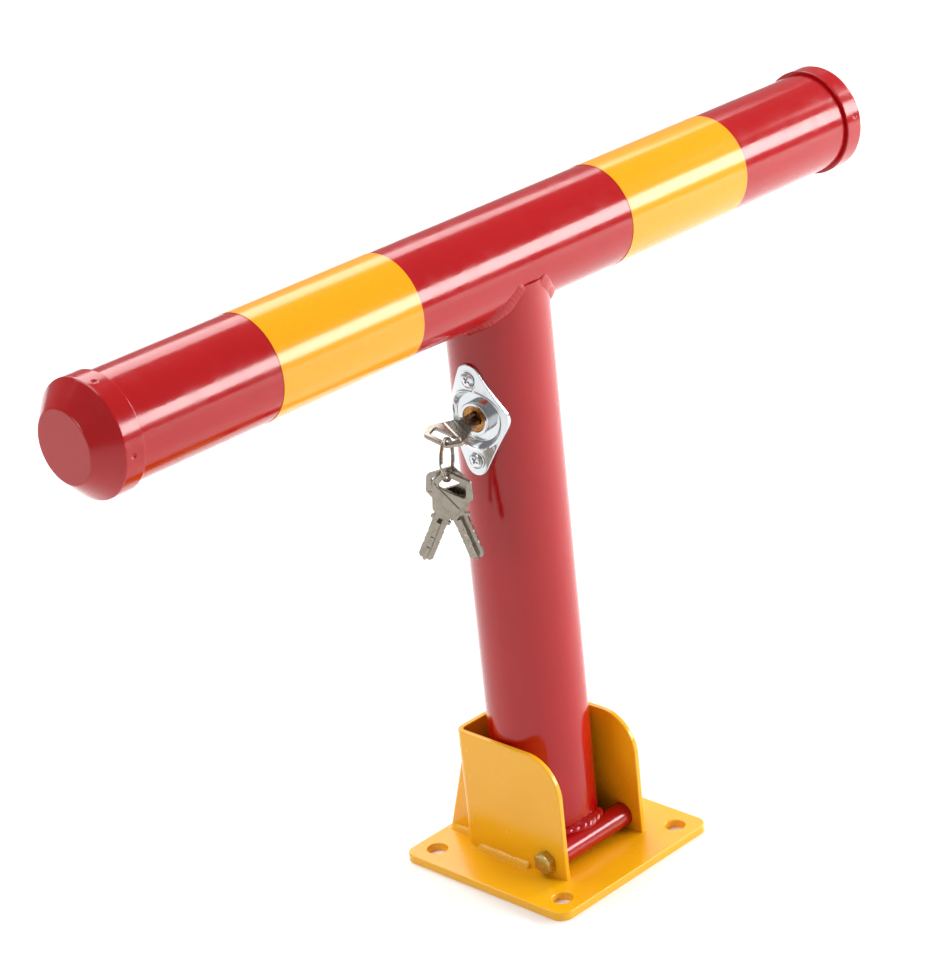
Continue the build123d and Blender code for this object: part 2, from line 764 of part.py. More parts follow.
# ---------------------------------------------------------------- keys
def make_key(place):
    """A cross-bladed key.  In place, +X runs to the bow's far end and Z is its thickness."""
    half_t = bow_t / 2
    with BuildPart() as key:
        with BuildSketch(place.offset(-half_t)):
            with BuildLine():
                Polyline(
                    (0, bow_end_width / 2),
                    (-bow_wide_at, bow_width / 2),
                    (-bow_length, bow_root_width / 2),
                    (-bow_length, -bow_root_width / 2),
                    (-bow_wide_at, -bow_width / 2),
                    (0, -bow_end_width / 2),
                    close=True,
                )
            make_face()
            fillet(vertices(), 2.8)
            with BuildSketch(mode=Mode.SUBTRACT):
                with BuildLine():
                    Polyline(
                        (-rim, slot_end_half),
                        (-rim - slot_depth, slot_root_half),
                        (-rim - slot_depth, -slot_root_half),
                        (-rim, -slot_end_half),
                        close=True,
                    )
                make_face()
                fillet(vertices(), 1.4)
        extrude(amount=bow_t)
        with BuildSketch(place.offset(-half_t)):
            with BuildLine():
                Polyline(
                    (-bow_length + 1.0, bow_root_width / 2 - 1.0),
                    (-bow_length - neck, blade_across / 2),
                    (-bow_length - neck, -blade_across / 2),
                    (-bow_length + 1.0, -bow_root_width / 2 + 1.0),
                    close=True,
                )
            make_face()
            with Locations((-bow_length - neck + ear_length / 2, 0)):
                Rectangle(ear_length, ear_width)
        extrude(amount=bow_t)
        with BuildSketch(place.offset(-half_t - band_raise)):
            with Locations((-band_from - band_width / 2, 0)):
                Rectangle(band_width, bow_root_width)
        extrude(amount=bow_t + 2 * band_raise)
        root = place.origin - place.x_dir * (bow_length + neck)
        with BuildSketch(Plane(origin=root, x_dir=place.y_dir, z_dir=-place.x_dir)):
            Rectangle(blade_across, blade_web)
            Rectangle(blade_web, blade_across)
        extrude(amount=blade_length)
    return key


up_dir = Vector(0, 0, 1)
key_side = side_dir * cos(radians(key_roll)) + up_dir * sin(radians(key_roll))
key_up = up_dir * cos(radians(key_roll)) - side_dir * sin(radians(key_roll))
key_place = Plane(origin=Vector(0, post_y, lock_z) + out_dir * bow_end_out, x_dir=out_dir, z_dir=key_up)
save(make_key(key_place), "lock_key")

# ---------------------------------------------------------------- key ring
ring_along = Vector(-cos(radians(ring_heading)), -sin(radians(ring_heading)), 0)
ring_normal = Vector(sin(radians(ring_heading)), -cos(radians(ring_heading)), 0)
ring_inner_r = ring_outer_r - ring_radial
ring_hook = key_place.origin - out_dir * (rim / 2) + key_side * ring_offset
hook_half = rim / 2 / cos(radians(ring_heading - lock_yaw)) + 0.2
ring_drop = sqrt((ring_inner_r - ring_play) ** 2 - hook_half**2) - bow_t / 2
ring_centre = ring_hook - up_dir * ring_drop
with BuildPart() as key_ring:
    with BuildSketch(Plane(origin=ring_centre, x_dir=ring_along, z_dir=up_dir)):
        with Locations((ring_inner_r + ring_radial / 2, 0)):
            RectangleRounded(ring_radial, ring_axial, 0.6)
    revolve(axis=Axis(ring_centre, ring_normal), revolution_arc=360)
save(key_ring, "key_ring")

# ---------------------------------------------------------------- spare keys
wire_mid_r = ring_inner_r + ring_radial / 2
wire_reach = sqrt((ring_radial / 2) ** 2 + (ring_axial / 2) ** 2)
hinge_drop = sqrt(wire_mid_r**2 - spare_spread**2)
hinge_to_rim = wire_reach + spare_play + ring_play


def spare_key(spread, lateral, tilt):
    """A key hung on the bottom of the ring, facing along the wire.

    spread is its place along the wire, lateral where its slot meets the wire, and tilt the
    angle of its blade from straight down.
    """
    hinge = ring_centre + ring_along * spread - up_dir * hinge_drop
    blade_down = ring_normal * sin(radians(tilt)) - up_dir * cos(radians(tilt))
    bow_up = blade_down * -1
    sideways = ring_along.cross(bow_up)
    far_end = hinge + bow_up * (rim + hinge_to_rim) - sideways * lateral
    return make_key(Plane(origin=far_end, x_dir=bow_up, z_dir=ring_along))


save(spare_key(spare_spread, spare_lateral, spare_tilt_front), "spare_key_front")
save(spare_key(-spare_spread, -spare_lateral, spare_tilt_back), "spare_key_back")

print("lock axis", tuple(out_dir), "through", tuple(lock_face(0).origin))
print("rod", (rod_x, rod_y), "ratio m/rad", lift / 1000 / (turn * pi / 180))
print("ring hook", tuple(ring_hook), "normal", tuple(ring_normal), "along", tuple(ring_along))
for spread in (spare_spread, -spare_spread):
    print("spare hinge", tuple(ring_centre + ring_along * spread - up_dir * hinge_drop))
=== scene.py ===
"""Looks of the folding parking lock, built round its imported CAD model.

Lengths are in millimetres in the part's own frame and turn to metres when a mesh is made.
+Z is up, the crossbar lies along X and the post folds down towards -Y.
"""
from __future__ import annotations

import json
import logging
from collections.abc import Sequence
from dataclasses import dataclass, field
from enum import Enum

import bmesh
import bpy
import numpy as np
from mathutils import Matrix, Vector


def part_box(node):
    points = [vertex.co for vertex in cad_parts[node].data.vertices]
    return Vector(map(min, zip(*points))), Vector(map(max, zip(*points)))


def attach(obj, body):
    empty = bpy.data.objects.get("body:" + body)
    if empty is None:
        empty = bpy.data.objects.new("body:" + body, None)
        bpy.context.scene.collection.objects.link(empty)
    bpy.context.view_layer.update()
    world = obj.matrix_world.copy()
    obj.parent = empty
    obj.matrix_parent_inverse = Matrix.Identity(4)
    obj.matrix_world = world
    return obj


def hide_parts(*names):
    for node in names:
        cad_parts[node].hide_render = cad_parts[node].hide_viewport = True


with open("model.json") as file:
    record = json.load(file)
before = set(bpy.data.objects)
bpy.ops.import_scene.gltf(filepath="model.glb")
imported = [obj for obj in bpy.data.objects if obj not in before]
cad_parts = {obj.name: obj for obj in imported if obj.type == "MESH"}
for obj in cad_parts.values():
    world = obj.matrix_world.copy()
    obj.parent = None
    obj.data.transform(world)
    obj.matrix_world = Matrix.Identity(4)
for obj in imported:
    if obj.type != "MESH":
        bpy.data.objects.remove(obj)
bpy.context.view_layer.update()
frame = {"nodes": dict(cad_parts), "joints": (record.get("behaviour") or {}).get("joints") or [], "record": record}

MM = 0.001
LOG = logging.getLogger("parking_lock")
TURN = 2 * np.pi
UP = np.array([0, 0, 1.0])
# How far the key and its keyway stand turned from level at rest, in degrees.
KEY_ROLL = -14.0


# ------------------------------------------------------------------ materials
class Slot(Enum):
    """The finishes of the object, by the name of the record's material slot."""

    AMBER = "yellow_powder_coat"
    RED = "red_powder_coat"
    TAPE = "reflective_tape"
    ZINC = "yellow_zinc"
    CHROME = "chrome_plate"
    BRASS = "plug_brass"
    STEEL = "bare_steel"
    NICKEL = "key_nickel"


class Kind(Enum):
    """The kinds of shader node that the finishes are made of."""

    COORDINATES = "ShaderNodeTexCoord"
    MAPPING = "ShaderNodeMapping"
    NOISE = "ShaderNodeTexNoise"
    CELLS = "ShaderNodeTexVoronoi"
    RANGE = "ShaderNodeMapRange"
    MIX = "ShaderNodeMix"
    MATH = "ShaderNodeMath"
    BUMP = "ShaderNodeBump"


def linear(code: str) -> tuple[float, float, float, float]:
    """Turn an sRGB hex colour into the linear RGBA that shaders work in.

    Args:
        code: six hex digits with a leading hash sign.

    Returns:
        Linear red, green and blue from 0 to 1, and an alpha of 1.
    """
    channels = np.array([int(code[i : i + 2], 16) for i in (1, 3, 5)]) / 255
    curved = np.where(channels <= 0.04045, channels / 12.92, ((channels + 0.055) / 1.055) ** 2.4)
    return (*curved.tolist(), 1.0)


def per_metre(size: float) -> float:
    """How many features of a size in millimetres fit in a metre."""
    return 1 / (size * MM)


def limits(low: float, high: float, start: float = 0.3, end: float = 0.7) -> dict[str, object]:
    """Settings that carry a value from the range start to end over to low to high."""
    return {"From Min": start, "From Max": end, "To Min": low, "To Max": high}


def colours(second: str, first: str = "#000000") -> dict[str, object]:
    """Settings that mix from the first colour to the second."""
    return {"data_type": "RGBA", "A_Color": linear(first), "B_Color": linear(second)}


def find_socket(sockets: bpy.types.bpy_prop_collection, key: str) -> bpy.types.NodeSocket:
    """Find a socket by its identifier, or by its name."""
    return next((s for s in sockets if s.identifier == key), None) or sockets[key]


class Graph:
    """A material's shader, the nodes that feed it, and the coordinates they read."""

    def __init__(self, tree: bpy.types.NodeTree) -> None:
        """Find the shader and add the object's own coordinates.

        Args:
            tree: the material's node tree, with its Principled shader in place.
        """
        self.tree = tree
        self.shader = tree.nodes["Principled BSDF"]
        self.place = self.add(Kind.COORDINATES, output="Object")

    def add(
        self,
        kind: Kind,
        settings: dict[str, object] | None = None,
        links: dict[str, bpy.types.NodeSocket] | None = None,
        output: str | None = None,
    ) -> bpy.types.NodeSocket:
        """Add a node with its settings and its incoming links.

        Args:
            kind: the kind of node.
            settings: values by property name, or by input socket where no property has that name.
            links: output sockets to join, by the name of this node's input socket.
            output: which of the node's own outputs is wanted; the first, unless said.

        Returns:
            That output socket.
        """
        node = self.tree.nodes.new(kind.value)
        for key, value in (settings or {}).items():
            if hasattr(node, key):
                setattr(node, key, value)
            else:
                find_socket(node.inputs, key).default_value = value
        for key, source in (links or {}).items():
            self.tree.links.new(source, find_socket(node.inputs, key))
        return find_socket(node.outputs, output) if output else node.outputs[0]

    def feed(self, **sources: bpy.types.NodeSocket) -> None:
        """Join sockets to the shader, by its input's name with _ for each space."""
        for name, source in sources.items():
            self.tree.links.new(source, self.shader.inputs[name.replace("_", " ")])


@dataclass(frozen=True)
class Finish:
    """A surface finish: a Principled shader, with procedural detail added by each kind of finish.

    Every pattern size is the size of one feature in millimetres, measured on the object.
    """

    colour: str
    roughness: float
    metallic: float = 0.0
    ior: float = 1.5

    def material(self, name: str) -> bpy.types.Material:
        """Build the material.

        Args:
            name: what to call it.

        Returns:
            A node material whose Surface is this finish.
        """
        made = bpy.data.materials.new(name)
        made.use_nodes = True
        graph = Graph(made.node_tree)
        graph.shader.inputs["Base Color"].default_value = linear(self.colour)
        graph.shader.inputs["Roughness"].default_value = self.roughness
        graph.shader.inputs["Metallic"].default_value = self.metallic
        graph.shader.inputs["IOR"].default_value = self.ior
        self.detail(graph)
        return made

    def detail(self, graph: Graph) -> None:
        """Add the finish's own pattern; the plain finish has none."""


@dataclass(frozen=True)
class PowderCoat(Finish):
    """Polyester powder coat, sprayed dry and baked on steel.

    It flows into a thick glossy skin with an orange-peel ripple, a few grains that did not melt
    flat, and a colour that thins a little over the high spots.
    """

    thin: str = "#FFFFFF"
    coat: float = 0.08
    coat_roughness: float = 0.06
    cloud: float = 35.0
    haze: float = 9.0
    peel: float = 2.4
    peel_depth: float = 0.035
    grain: float = 0.5
    grain_depth: float = 0.005

    def detail(self, graph: Graph) -> None:
        """Add orange peel, grains, and cloudy gloss and colour.

        Args:
            graph: the material's nodes.
        """
        graph.shader.inputs["Coat Weight"].default_value = self.coat
        graph.shader.inputs["Coat Roughness"].default_value = self.coat_roughness
        seen = {"Vector": graph.place}
        cloud = graph.add(Kind.NOISE, {"Scale": per_metre(self.cloud), "Detail": 3.0}, seen)
        amount = graph.add(Kind.RANGE, limits(0.0, 0.35), {"Value": cloud})
        tint = graph.add(Kind.MIX, colours(self.thin, self.colour), {"Factor_Float": amount}, "Result_Color")
        haze = graph.add(Kind.NOISE, {"Scale": per_metre(self.haze), "Detail": 4.0}, seen)
        gloss = graph.add(Kind.RANGE, limits(self.roughness - 0.04, self.roughness + 0.06), {"Value": haze})
        peel = graph.add(Kind.NOISE, {"Scale": per_metre(self.peel), "Detail": 1.5}, seen)
        skin = graph.add(Kind.BUMP, {"Distance": self.peel_depth * MM}, {"Height": peel})
        grain = graph.add(Kind.NOISE, {"Scale": per_metre(self.grain), "Detail": 1.0}, seen)
        speck = graph.add(Kind.RANGE, limits(0.0, 1.0, 0.66, 0.8), {"Value": grain})
        under = {"Height": speck, "Normal": skin}
        raised = graph.add(Kind.BUMP, {"Distance": self.grain_depth * MM}, under)
        graph.feed(Base_Color=tint, Roughness=gloss, Normal=raised)


@dataclass(frozen=True)
class ReflectiveFilm(Finish):
    """Retroreflective PVC tape: glass beads bedded under a clear, glossy face film.

    The beads' sparkle is a painted glint, a brighter yellow painted at each bead's middle, below a
    smooth top that shines like plastic sheet, with slack ripples where the tape was pulled round the
    bar. Real beads are some 0.05 mm across; they are drawn nine times as coarse, so that they show.
    """

    # Painted glint: the brighter yellow painted at the middle of each bead, standing in for its sparkle.
    painted_glint: str = "#FAB40A"
    bead: float = 0.45
    bead_depth: float = 0.004
    ripple: float = 14.0
    ripple_depth: float = 0.08

    def detail(self, graph: Graph) -> None:
        """Add a painted glint in colour at each bead's middle, bead variation in gloss, and slow ripples in the
        clear face.

        Args:
            graph: the material's nodes.
        """
        bead = graph.add(Kind.CELLS, {"Scale": per_metre(self.bead)}, {"Vector": graph.place})
        # Painted glint: the colour brightens towards each bead's middle, where the light would sparkle.
        amount = graph.add(Kind.RANGE, limits(0.6, 0.0, 0.1, 0.6), {"Value": bead})
        tint = graph.add(Kind.MIX, colours(self.painted_glint, self.colour), {"Factor_Float": amount}, "Result_Color")
        smooth, rough = self.roughness, self.roughness + 0.06
        gloss = graph.add(Kind.RANGE, limits(smooth, rough, 0.0, 0.7), {"Value": bead})
        drawn = graph.add(Kind.MAPPING, {"Scale": (0.4, 1.0, 1.0)}, {"Vector": graph.place})
        ripple = graph.add(Kind.NOISE, {"Scale": per_metre(self.ripple), "Detail": 1.0}, {"Vector": drawn})
        slack = graph.add(Kind.BUMP, {"Distance": self.ripple_depth * MM}, {"Height": ripple})
        raised = graph.add(Kind.BUMP, {"Distance": self.bead_depth * MM}, {"Height": bead, "Normal": slack})
        graph.feed(Base_Color=tint, Roughness=gloss, Normal=raised)


@dataclass(frozen=True)
class ChromePlate(Finish):
    """Bright chrome over nickel on pressed steel.

    It mirrors its surroundings, slightly bent by the waviness of the pressing, and its polish
    leaves faint rub marks.
    """

    wave: float = 7.0
    wave_depth: float = 0.06
    rub: float = 0.35
    rub_depth: float = 0.0012

    def detail(self, graph: Graph) -> None:
        """Add pressing waves, rub marks and cloudy gloss.

        Args:
            graph: the material's nodes.
        """
        drawn = graph.add(Kind.MAPPING, {"Scale": (1.0, 1.0, 0.08)}, {"Vector": graph.place})
        rub = graph.add(Kind.NOISE, {"Scale": per_metre(self.rub), "Detail": 2.0}, {"Vector": drawn})
        gloss = graph.add(Kind.RANGE, limits(self.roughness - 0.03, self.roughness + 0.08), {"Value": rub})
        wave = graph.add(Kind.NOISE, {"Scale": per_metre(self.wave), "Detail": 1.0}, {"Vector": graph.place})
        bent = graph.add(Kind.BUMP, {"Distance": self.wave_depth * MM}, {"Height": wave})
        raised = graph.add(Kind.BUMP, {"Distance": self.rub_depth * MM}, {"Height": rub, "Normal": bent})
        graph.feed(Roughness=gloss, Normal=raised)


@dataclass(frozen=True)
class TurnedBrass(Finish):
    """Free-cutting brass, turned on a lathe and left unplated.

    The tool leaves fine marks that soften the highlight, and handling dulls it in patches.
    """

    dull: str = "#8A5A30"
    patch: float = 2.5
    mark: float = 0.22
    mark_depth: float = 0.004

    def detail(self, graph: Graph) -> None:
        """Add tool marks, and patches of tarnish.

        Args:
            graph: the material's nodes.
        """
        seen = {"Vector": graph.place}
        patch = graph.add(Kind.NOISE, {"Scale": per_metre(self.patch), "Detail": 4.0}, seen)
        amount = graph.add(Kind.RANGE, limits(0.0, 0.7), {"Value": patch})
        tint = graph.add(Kind.MIX, colours(self.dull, self.colour), {"Factor_Float": amount}, "Result_Color")
        mark = graph.add(Kind.NOISE, {"Scale": per_metre(self.mark), "Detail": 2.0}, seen)
        gloss = graph.add(Kind.RANGE, limits(self.roughness - 0.06, self.roughness + 0.12), {"Value": mark})
        raised = graph.add(Kind.BUMP, {"Distance": self.mark_depth * MM}, {"Height": mark})
        graph.feed(Base_Color=tint, Roughness=gloss, Normal=raised)


@dataclass(frozen=True)
class YellowZinc(Finish):
    """Zinc-plated steel passivated in yellow chromate.

    The thin film shifts between straw, green and rose from place to place over a soft metal
    shine.
    """

    green: str = "#9FA55E"
    rose: str = "#B98468"
    green_patch: float = 3.0
    rose_patch: float = 1.7
    grain: float = 0.3
    grain_depth: float = 0.008

    def detail(self, graph: Graph) -> None:
        """Add patches of film colour, and the grain of the plating.

        Args:
            graph: the material's nodes.
        """
        seen = {"Vector": graph.place}
        patch = graph.add(Kind.NOISE, {"Scale": per_metre(self.green_patch), "Detail": 2.0}, seen)
        amount = graph.add(Kind.RANGE, limits(0.0, 0.8), {"Value": patch})
        share = {"Factor_Float": amount}
        straw = graph.add(Kind.MIX, colours(self.green, self.colour), share, "Result_Color")
        blush = graph.add(Kind.NOISE, {"Scale": per_metre(self.rose_patch), "Detail": 3.0}, seen)
        amount = graph.add(Kind.RANGE, limits(0.0, 0.6, 0.5, 0.8), {"Value": blush})
        both = {"Factor_Float": amount, "A_Color": straw}
        tint = graph.add(Kind.MIX, colours(self.rose), both, "Result_Color")
        grain = graph.add(Kind.NOISE, {"Scale": per_metre(self.grain), "Detail": 2.0}, seen)
        gloss = graph.add(Kind.RANGE, limits(self.roughness - 0.08, self.roughness + 0.1), {"Value": grain})
        raised = graph.add(Kind.BUMP, {"Distance": self.grain_depth * MM}, {"Height": grain})
        graph.feed(Base_Color=tint, Roughness=gloss, Normal=raised)


@dataclass(frozen=True)
class OiledSteel(Finish):
    """Cold-drawn mild steel, machined and oiled.

    Drawing leaves fine streaks, and the oil darkens it in smears.
    """

    smear: str = "#3C3A37"
    smear_size: float = 12.0
    streak: float = 0.5
    streak_depth: float = 0.006

    def detail(self, graph: Graph) -> None:
        """Add drawing streaks along the upright parts, and smears of oil.

        Args:
            graph: the material's nodes.
        """
        seen = {"Vector": graph.place}
        smear = graph.add(Kind.NOISE, {"Scale": per_metre(self.smear_size), "Detail": 3.0}, seen)
        amount = graph.add(Kind.RANGE, limits(0.0, 0.7), {"Value": smear})
        tint = graph.add(Kind.MIX, colours(self.smear, self.colour), {"Factor_Float": amount}, "Result_Color")
        drawn = graph.add(Kind.MAPPING, {"Scale": (1.0, 1.0, 0.06)}, seen)
        streak = graph.add(Kind.NOISE, {"Scale": per_metre(self.streak), "Detail": 2.0}, {"Vector": drawn})
        gloss = graph.add(Kind.RANGE, limits(self.roughness - 0.1, self.roughness + 0.12), {"Value": streak})
        raised = graph.add(Kind.BUMP, {"Distance": self.streak_depth * MM}, {"Height": streak})
        graph.feed(Base_Color=tint, Roughness=gloss, Normal=raised)


@dataclass(frozen=True)
class KeyNickel(Finish):
    """Nickel plate on stamped and milled brass, carried in a pocket.

    A warm grey metal, bright where it rubs, with short fine scratches in every direction.
    """

    worn: str = "#857A68"
    wear: float = 4.0
    scratch: float = 0.25
    scratch_depth: float = 0.006

    def detail(self, graph: Graph) -> None:
        """Add crossed scratches, and wear to a warmer metal.

        Args:
            graph: the material's nodes.
        """
        seen = {"Vector": graph.place}
        wear = graph.add(Kind.NOISE, {"Scale": per_metre(self.wear), "Detail": 4.0}, seen)
        amount = graph.add(Kind.RANGE, limits(0.0, 0.6, 0.45, 0.75), {"Value": wear})
        tint = graph.add(Kind.MIX, colours(self.worn, self.colour), {"Factor_Float": amount}, "Result_Color")
        scratches = {}
        for side, stretch in (("Value", (1.0, 1.0, 0.12)), ("Value_001", (0.12, 0.3, 1.0))):
            drawn = graph.add(Kind.MAPPING, {"Scale": stretch}, seen)
            fine = {"Scale": per_metre(self.scratch), "Detail": 2.0}
            scratches[side] = graph.add(Kind.NOISE, fine, {"Vector": drawn})
        both = graph.add(Kind.MATH, {"operation": "MAXIMUM"}, scratches)
        gloss = graph.add(Kind.RANGE, limits(self.roughness - 0.06, self.roughness + 0.14), {"Value": both})
        raised = graph.add(Kind.BUMP, {"Distance": self.scratch_depth * MM}, {"Height": both})
        graph.feed(Base_Color=tint, Roughness=gloss, Normal=raised)


FINISHES: dict[Slot, Finish] = {
    Slot.AMBER: PowderCoat("#F0AF10", 0.22, thin="#E8A408"),
    Slot.RED: PowderCoat("#AB030B", 0.15, thin="#9A0208"),
    Slot.TAPE: ReflectiveFilm("#EE9A00", 0.13),
    Slot.ZINC: YellowZinc("#CBB27A", 0.3, 1.0),
    Slot.CHROME: ChromePlate("#D4D7DA", 0.12, 1.0),
    Slot.BRASS: TurnedBrass("#C79255", 0.28, 1.0),
    Slot.STEEL: OiledSteel("#8B8C8E", 0.36, 1.0),
    Slot.NICKEL: KeyNickel("#9A9388", 0.19, 1.0),
}


# ------------------------------------------------------------------ dressing and adding pieces
class Workshop:
    """Makes the materials once, dresses the CAD nodes and adds the new pieces."""

    def __init__(self) -> None:
        """Make one material for each slot."""
        self.materials = {slot: FINISHES[slot].material(slot.value) for slot in Slot}

    def dress_nodes(self) -> None:
        """Give each CAD node the material of the slot that the record puts it in."""
        for name, slot in node_slots().items():
            mesh = frame["nodes"][name].data
            mesh.materials.clear()
            mesh.materials.append(self.materials[slot])

    def add(self, name: str, shells: Sequence[Shell], slot: Slot, body: str, replaced: Sequence[str]) -> None:
        """Make one piece, dress it, hang it on the body it moves with, and hide the CAD nodes it stands for.

        Args:
            name: the piece's name.
            shells: the closed surfaces that it is made of.
            slot: the finish it has.
            body: the CAD body it moves with.
            replaced: the CAD nodes it stands for.
        """
        piece = build_mesh(name, shells)
        piece.data.materials.append(self.materials[slot])
        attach(piece, body)
        if replaced:
            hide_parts(*replaced)
        LOG.info("%s: %d faces on %s", name, len(piece.data.polygons), body)


def node_slots() -> dict[str, Slot]:
    """Which slot each CAD node has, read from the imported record."""
    return {part["node"]: Slot(part["material_slot"]) for part in frame["record"]["subparts"]}


# ------------------------------------------------------------------ surfaces
@dataclass(frozen=True)
class Shell:
    """A grid of points, in millimetres, that makes one closed surface.

    Args:
        points: rows by columns by three coordinates.
        rows_close: whether the last row joins the first.
        columns_close: whether the last column joins the first.
    """

    points: np.ndarray
    rows_close: bool = False
    columns_close: bool = False

    def quads(self, start: int) -> np.ndarray:
        """Corner indices of the grid's faces.

        Each face joins a grid point to its right, diagonal and lower neighbours.

        Args:
            start: index of the grid's first point in the whole mesh.

        Returns:
            One row of four indices for each face.
        """
        rows, columns = self.points.shape[:2]
        row = np.arange(rows if self.rows_close else rows - 1)[:, None]
        column = np.arange(columns if self.columns_close else columns - 1)[None, :]
        below, beside = (row + 1) % rows, (column + 1) % columns
        corners = [
            row * columns + column,
            row * columns + beside,
            below * columns + beside,
            below * columns + column,
        ]
        return start + np.stack(corners, axis=-1).reshape(-1, 4)


def build_mesh(name: str, shells: Sequence[Shell], crisp: float = 38.0) -> bpy.types.Object:
    """Join shells into one mesh object with outward faces, closed poles and crisp corners.

    Args:
        name: the object's name.
        shells: closed surfaces, which may overlap.
        crisp: corners sharper than this many degrees stay sharp.

    Returns:
        The new object, at the origin.
    """
    points = np.concatenate([s.points.reshape(-1, 3) for s in shells]) * MM
    starts = np.cumsum([0] + [s.points.shape[0] * s.points.shape[1] for s in shells[:-1]])
    faces = np.concatenate([s.quads(int(start)) for s, start in zip(shells, starts)])
    mesh = bpy.data.meshes.new(name)
    mesh.from_pydata(points, [], faces)
    tidy = bmesh.new()
    tidy.from_mesh(mesh)
    bmesh.ops.remove_doubles(tidy, verts=tidy.verts, dist=0.002 * MM)
    bmesh.ops.dissolve_degenerate(tidy, edges=tidy.edges, dist=0.0005 * MM)
    bmesh.ops.recalc_face_normals(tidy, faces=tidy.faces)
    tidy.to_mesh(mesh)
    tidy.free()
    mesh.polygons.foreach_set("use_smooth", np.ones(len(mesh.polygons), bool))
    mesh.set_sharp_from_angle(angle=np.radians(crisp))
    piece = bpy.data.objects.new(name, mesh)
    bpy.context.scene.collection.objects.link(piece)
    return piece


@dataclass(frozen=True)
class Axes:
    """An origin and three unit directions to build in."""

    origin: np.ndarray
    right: np.ndarray
    up: np.ndarray
    out: np.ndarray

    def at(self, right: np.ndarray, up: np.ndarray, out: np.ndarray) -> np.ndarray:
        """Points that lie the given distances along right, up and out from the origin."""
        a, b, c = np.broadcast_arrays(np.asarray(right, float), up, out)
        return self.origin + a[..., None] * self.right + b[..., None] * self.up + c[..., None] * self.out

    def moved(self, right: float = 0.0, up: float = 0.0, out: float = 0.0) -> Axes:
        """The same directions from an origin moved along them."""
        return Axes(self.at(right, up, out), self.right, self.up, self.out)

    def revolve(self, radius: np.ndarray, out: np.ndarray, steps: int = 96) -> Shell:
        """Turn a profile about the out direction: (radius cos a, radius sin a, out).

        Args:
            radius: distances from the axis, one for each point of the profile.
            out: distances along the axis, one for each point of the profile.
            steps: how many times the profile is repeated round the axis.

        Returns:
            A shell that closes round the axis.
        """
        angle = np.linspace(0, TURN, steps, endpoint=False)[:, None]
        points = self.at(radius * np.cos(angle), radius * np.sin(angle), out + 0 * angle)
        return Shell(points, rows_close=True)


def rounded(corners: Sequence[tuple[float, float, float]], closed: bool, steps: int = 5) -> np.ndarray:
    """Round the corners of a flat outline.

    Each corner with a radius becomes a quadratic curve between the points where its round
    starts and ends, which lie radius / tan(half the corner's angle) from the corner. A corner
    with none stays one point, and so do both ends of an open outline.

    Args:
        corners: x, y and the round's radius of each corner in order.
        closed: whether the last corner joins the first.
        steps: how many pieces each round has.

    Returns:
        The outline's points, one row each.
    """
    data = np.array(corners, float)
    corner, radius = data[:, None, :2], data[:, 2]
    if not closed:
        radius[[0, -1]] = 0
    to_before = unit(np.roll(corner, 1, axis=0) - corner)
    to_after = unit(np.roll(corner, -1, axis=0) - corner)
    half = np.arccos(np.clip((to_before * to_after).sum(axis=-1), -1, 1)) / 2
    reach = np.where(radius > 0, radius / np.maximum(np.tan(half[:, 0]), 1e-9), 0)[:, None, None]
    t = np.linspace(0, 1, steps + 1)[None, :, None]
    start, end = corner + to_before * reach, corner + to_after * reach
    points = (1 - t) ** 2 * start + 2 * t * (1 - t) * corner + t**2 * end
    kept = (radius[:, None] > 0) | (np.arange(steps + 1) == 0)
    return points[kept]


def finer(outline: np.ndarray, spacing: float, closed: bool = False) -> np.ndarray:
    """Add points along an outline, evenly on each of its pieces.

    A piece gets its length / spacing points, rounded up, at equal shares of the way along it.

    Args:
        outline: points, one row each.
        spacing: the furthest apart that two points may lie.
        closed: whether the last point joins the first.

    Returns:
        The outline's points with the new ones among them.
    """
    starts = outline if closed else outline[:-1]
    spans = (np.roll(outline, -1, axis=0) if closed else outline[1:]) - starts
    counts = np.maximum(1, np.ceil(np.linalg.norm(spans, axis=1) / spacing)).astype(int)
    begun = np.repeat(np.cumsum(counts) - counts, counts)
    share = (np.arange(counts.sum()) - begun) / np.repeat(counts, counts)
    points = np.repeat(starts, counts, axis=0) + share[:, None] * np.repeat(spans, counts, axis=0)
    return points if closed else np.concatenate([points, outline[-1:]])


def reach_at(outline: np.ndarray, centre: np.ndarray, angle: np.ndarray) -> np.ndarray:
    """How far a closed outline lies from its centre in each direction.

    The outline's points are read as angle and distance, and the distance is interpolated.

    Args:
        outline: points, one row each, that go once round the centre.
        centre: where the distances are measured from.
        angle: directions to measure in.

    Returns:
        A distance for each direction.
    """
    arm = outline - centre
    around = np.arctan2(arm[:, 1], arm[:, 0])
    order = np.argsort(around)
    return np.interp(angle, around[order], np.hypot(arm[order, 0], arm[order, 1]), period=TURN)


def unit(vectors: np.ndarray) -> np.ndarray:
    """Vectors of length one in the same directions."""
    return vectors / np.maximum(np.linalg.norm(vectors, axis=-1, keepdims=True), 1e-9)


def step_up(value: np.ndarray, start: float, end: float) -> np.ndarray:
    """Rise smoothly from 0 at start to 1 at end, by 3t squared - 2t cubed."""
    t = np.clip((value - start) / (end - start), 0, 1)
    return t * t * (3 - 2 * t)


